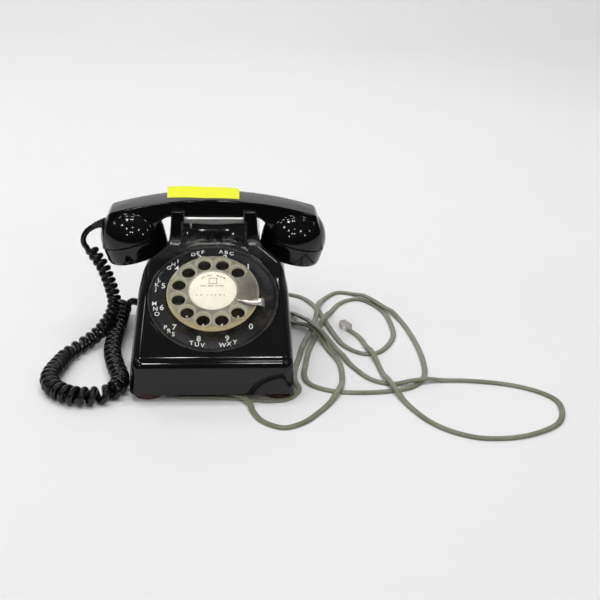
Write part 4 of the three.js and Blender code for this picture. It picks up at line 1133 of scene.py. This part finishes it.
# ------------------------------------------------------------------ flat line cord
LINE_W, LINE_T = 5.0, 2.3
PLAN = [(32, 105), (34, 114), (48, 116), (68, 112), (80, 105), (89, 91), (95, 74), (100, 51), (107, 19), (113, -1), (122, -14), (132, -20), (142, -18), (152, -5), (160, 16), (161, 38), (157, 69), (148, 88), (137, 99), (127, 98), (116, 88), (106, 66), (97, 43), (89, 14), (82, -14), (78, -40), (76, -60), (79, -74), (88, -83), (102, -89), (121, -91), (144, -89), (164, -82), (176, -66), (180, -38), (177, 14), (168, 58), (158, 75), (146, 96), (131, 112), (117, 116), (105, 104), (97, 86), (93, 60), (86, 24), (78, -4), (71, -36), (67.8, -56), (68, -71), (70.4, -83), (66.5, -94), (58.3, -101.9), (44.8, -104), (32, -102), (14, -98.8), (-10, -96.3), (-29, -95.5), (-36.5, -91), (-32, -86), (-18, -85.5), (0, -90), (17, -97.4), (26, -104.4), (30, -111), (32, -120), (40, -137), (56, -147), (71, -140), (85, -123), (99, -99), (106, -78), (108, -47), (106, -32), (100, -13), (94, 7), (86, 24), (78, 33), (71.5, 40), (69.0, 52), (70, 64), (74.5, 54), (84, 32), (94, 12), (103, -8), (111, -27), (120, -48), (131, -67), (143, -75), (158, -77), (172, -74), (187, -71), (216, -72), (248, -80), (269, -93), (279, -107), (279, -125), (271, -144), (254, -157), (232, -165), (206, -165), (187, -156), (171, -140), (159, -117), (150, -91), (144, -67), (139, -32), (134, -8), (129, 14), (121.4, 29)]


def restack(plan, width, rise, z0):
    """A later stretch that crosses an earlier one rides over it."""
    P = catmull([(x, y, 0) for x, y in plan], 3.2)
    n = len(P)
    z = np.full(n, z0)
    step = float(np.linalg.norm(np.diff(P[:, :2], axis=0), axis=1).mean())
    gap = int(14 / step) + 1
    reach = 34
    dist = np.hypot(P[:, None, 0] - P[None, :, 0], P[:, None, 1] - P[None, :, 1])
    for _ in range(10):
        moved = False
        for j in range(n):
            i = np.arange(0, max(0, j - gap))
            if len(i):
                hit = i[dist[i, j] < width]
                if len(hit):
                    need = z[hit].max() + rise
                    if z[j] < need - 1e-6:
                        z[j] = need; moved = True
        for j in range(n):
            a, b = max(0, j - reach), min(n, j + reach + 1)
            e = z[a:b] - 0.2 * step * np.abs(np.arange(a, b) - j)
            z[j] = max(z[j], e.max())
        if not moved:
            break
    zz = z.copy()
    for _ in range(3):
        zz[1:-1] = np.maximum(z[1:-1], 0.25 * zz[:-2] + 0.5 * zz[1:-1] + 0.25 * zz[2:])
    P[:, 2] = zz
    return P


F = restack(PLAN, LINE_W + 1.4, LINE_T + 0.4, DESK + LINE_T / 2 + 0.02)
F = np.vstack([[(32, 97.4, 4.5), (32, 99.5, 4.2), (32, 101.6, 3.4), (32, 103.4, 1.2)], F[2:]])
F = catmull(F, 1.6)
F[:, 2] = np.maximum(F[:, 2], DESK + LINE_T / 2 + 0.01)
sec = []
for cx, a0, a1 in ((LINE_W / 2 - LINE_T / 2, -90, 90), (-LINE_W / 2 + LINE_T / 2, 90, 270)):
    for i in range(7):
        a = (a0 + (a1 - a0) * i / 6) * D
        sec.append((cx + LINE_T / 2 * math.cos(a), LINE_T / 2 * math.sin(a)))
sec = [(x, y * (1 - 0.10 * math.exp(-(x / 0.5) ** 2))) for x, y in sec]
v, f = sweep_mesh(F, sec, up=(0, 0, 1))
flat = make("flat_line_cord", v, f, [MAT["flat"]])
fix_normals(flat); autosmooth(flat, 60)
piece(flat, "base", ["line_cord"])

# ------------------------------------------------------------------ clear plug
end, prev = F[-1], F[-8]
ang = math.atan2(end[1] - prev[1], end[0] - prev[0])
ca, sa = math.cos(ang), math.sin(ang)


def plug_space(v):
    v = np.asarray(v, float)
    return np.stack([end[0] + v[:, 0] * ca - v[:, 1] * sa, end[1] + v[:, 0] * sa + v[:, 1] * ca, DESK + v[:, 2]], 1)


def plug_field(x, y, z):
    b = rmax(rmax(np.abs(y) - 3.3, np.abs(z - 3.3) - 3.0, 0.35), np.abs(x - 6.9) - 6.0, 0.35)
    latch = rmax(np.abs(y) - 1.6, np.maximum(np.abs(x - 6.6) - 4.2, np.abs(z - 6.75 + (x - 10) * 0.07) - 0.45), 0.2)
    d = rmin(b, latch, 0.3)
    slots = np.minimum.reduce([np.abs(y - c) - 0.32 for c in (-1.8, -0.6, 0.6, 1.8)])
    d = rmax(d, -np.maximum(np.maximum(slots, 9.6 - x), z - 2.6), 0.1)
    return rmax(d, -np.maximum(np.maximum(np.abs(y) - 2.6, np.abs(z - 2.0) - 1.3), x - 3.2), 0.15)


V, Q, N = polygonise(plug_field, (0.2, -4, -0.4), (13.6, 4, 8.4), 0.3)
plug = from_arrays("plug_body", plug_space(V), outward(plug_space(V) - end, Q), [MAT["plug"]], np.stack([N[:, 0] * ca - N[:, 1] * sa, N[:, 0] * sa + N[:, 1] * ca, N[:, 2]], 1))
piece(plug, "base", ["modular_plug"])
vs, fs, k = [], [], 0
for c in (-1.8, -0.6, 0.6, 1.8):
    V = np.array([(x, c + y, z) for x in (9.9, 12.6) for y in (-0.2, 0.2) for z in (0.6, 2.4)], float)
    FF = [(0, 1, 3, 2), (4, 6, 7, 5), (0, 4, 5, 1), (2, 3, 7, 6), (0, 2, 6, 4), (1, 5, 7, 3)]
    vs.append(V); fs += [tuple(i + k for i in q) for q in FF]; k += len(V)
ob = make("plug_contacts", plug_space(np.concatenate(vs)), fs, [MAT["gold"]], smooth=False)
fix_normals(ob)
piece(ob, "base", ())

# ------------------------------------------------------------------ floor, light, camera
def backdrop():
    pts = [(-3.0, DESK * MM), (1.35, DESK * MM)]
    for i in range(1, 13):
        a = i / 12 * 90 * D
        pts.append((1.35 + 0.6 * math.sin(a), DESK * MM + 0.6 * (1 - math.cos(a))))
    pts.append((1.95, 3.2))
    V, F = [], []
    for y, z in pts:
        V += [(-4.0, y, z), (4.0, y, z)]
    for i in range(len(pts) - 1):
        a = 2 * i
        F.append((a, a + 1, a + 3, a + 2))
    me = bpy.data.meshes.new("floor"); me.from_pydata(V, [], F); me.update()
    for p in me.polygons:
        p.use_smooth = True
    ob = bpy.data.objects.new("floor", me)
    bpy.context.scene.collection.objects.link(ob)
    m = Nodes("floor_paper")
    n = m.noise(1.4, 3)
    lp = m.n.new("ShaderNodeLightPath")
    sx = m.n.new("ShaderNodeSeparateXYZ"); m.link(m.co, sx.inputs[0])
    # painted reflection: beyond this line the floor is dark for glossy rays only, so the plastic mirrors a dark room
    # in front while the camera still sees pale floor
    far_dark_in_reflections = m.math("MULTIPLY", m.span(sx.outputs["Y"], -0.42, -0.60), lp.outputs["Is Glossy Ray"])      # the table ends before the camera
    col = m.mix(far_dark_in_reflections, m.mix(m.span(n, 0.3, 0.7), (0.88, 0.88, 0.882), (0.92, 0.92, 0.922)), (0.03, 0.03, 0.03))
    m.set(Base_Color=col, Roughness=0.42, Specular_IOR_Level=0.25)
    me.materials.append(m.mat)


backdrop()


def area(name, loc, aim, size, power, color=(1, 1, 1), spread=None, shape="RECTANGLE"):
    li = bpy.data.lights.new(name, "AREA")
    li.shape = shape
    li.size, li.size_y = size
    li.energy = power
    li.color = color
    if spread:
        li.spread = spread
    ob = bpy.data.objects.new(name, li)
    bpy.context.scene.collection.objects.link(ob)
    ob.location = loc
    ob.rotation_euler = (Vector(aim) - Vector(loc)).to_track_quat("-Z", "Y").to_euler()
    return ob


# broad fills that light the table but are not mirrored in the plastic
for nm, loc, aim, size, power in (("fill_top", (0.0, -0.1, 2.4), (0, 0, 0), (2.2, 1.8), 27), ("fill_front", (0.2, -2.2, 1.7), (0, 0, 0.05), (2.0, 1.2), 8),
                                  ("fill_left", (-1.9, -0.3, 1.5), (0, 0, 0.05), (1.2, 1.2), 3.5), ("back_wash", (0.0, 0.3, 1.9), (0, 1.95, 0.6), (2.8, 0.6), 13.5)):
    area(nm, loc, aim, size, power).visible_glossy = False
# lamps that are mirrored: azimuth from straight ahead (to the right positive), elevation, distance, width, height, power
for i, (az, el, dist, w, h, power) in enumerate([
        (-52, 47, 2.3, 0.17, 0.17, 2.6), (-50, 69, 2.2, 0.28, 0.20, 4.5), (2, 47, 2.4, 0.10, 0.10, 0.6), (-24, 41, 2.5, 0.17, 0.17, 2.4), (30, 37, 2.4, 0.17, 0.17, 2.4),
        (-18, 21, 2.6, 0.14, 0.14, 1.5), (42, 20, 2.6, 0.14, 0.14, 1.5), (-89, 35, 2.2, 0.16, 0.16, 0.7), (87, 60, 2.2, 0.2, 0.2, 0.7),
        (66, 27, 2.4, 0.12, 0.12, 0.7), (-108, 68, 2.2, 0.16, 0.16, 0.7), (150, 72, 2.2, 0.14, 0.14, 1.4), (-138, 39, 2.2, 0.3, 0.22, 4.0),
        (-16.5, 76, 2.3, 0.07, 0.16, 1.6), (8.5, 76, 2.3, 0.09, 0.15, 2.2), (-7.0, 31, 2.3, 0.06, 0.12, 1.2), (2.2, 31, 2.3, 0.13, 0.12, 1.6),
        (5.2, 47, 2.3, 0.05, 0.10, 0.4)]):
    c = (math.sin(az * D) * math.cos(el * D) * dist, -math.cos(az * D) * math.cos(el * D) * dist, math.sin(el * D) * dist)
    lamp = area("lamp_%02d" % i, c, (0, 0, 0.08), (w, h), power)
    # the lamps that only make a glint leave the desk alone
    lamp.visible_diffuse = (az, el) not in ((-50, 69), (-16.5, 76), (8.5, 76), (-7.0, 31), (2.2, 31))

world = bpy.data.worlds.new("studio")
bpy.context.scene.world = world
world.use_nodes = True
wn, wl = world.node_tree.nodes, world.node_tree.links
bg = wn["Background"]
tc = wn.new("ShaderNodeTexCoord"); sp = wn.new("ShaderNodeSeparateXYZ"); wl.new(tc.outputs["Generated"], sp.inputs[0])
rp = wn.new("ShaderNodeValToRGB"); wl.new(sp.outputs["Z"], rp.inputs[0])
e = rp.color_ramp.elements
e[0].position = 0.0; e[0].color = (0.035, 0.035, 0.036, 1)
e[1].position = 1.0; e[1].color = (0.06, 0.06, 0.062, 1)
k2 = e.new(0.4); k2.color = (0.055, 0.055, 0.057, 1)
lp = wn.new("ShaderNodeLightPath")
mw = wn.new("ShaderNodeMix"); mw.data_type = "RGBA"
ins = [k for k in mw.inputs if k.type == "RGBA"]
wl.new(lp.outputs["Is Camera Ray"], mw.inputs[0])
wl.new(rp.outputs[0], ins[0])
ins[1].default_value = (0.92, 0.92, 0.93, 1)
wl.new([k for k in mw.outputs if k.type == "RGBA"][0], bg.inputs[0])
bg.inputs[1].default_value = 1.0

cam_data = bpy.data.cameras.new("camera")
cam_data.sensor_width = 36.0
cam_data.lens = 69.0
cam_data.clip_start = 0.05
cam = bpy.data.objects.new("camera", cam_data)
bpy.context.scene.collection.objects.link(cam)
right, upv, back = Vector((0.99896, -0.04309, 0.0151)), Vector((0.00347, 0.4015, 0.91585)), Vector((-0.04553, -0.91484, 0.40123))
cam.matrix_world = Matrix(((right.x, upv.x, back.x, 0.02847), (right.y, upv.y, back.y, -0.92021), (right.z, upv.z, back.z, 0.44281), (0, 0, 0, 1)))
bpy.context.scene.camera = cam
bpy.context.scene.view_settings.view_transform = "Standard"
bpy.context.scene.view_settings.look = "None"
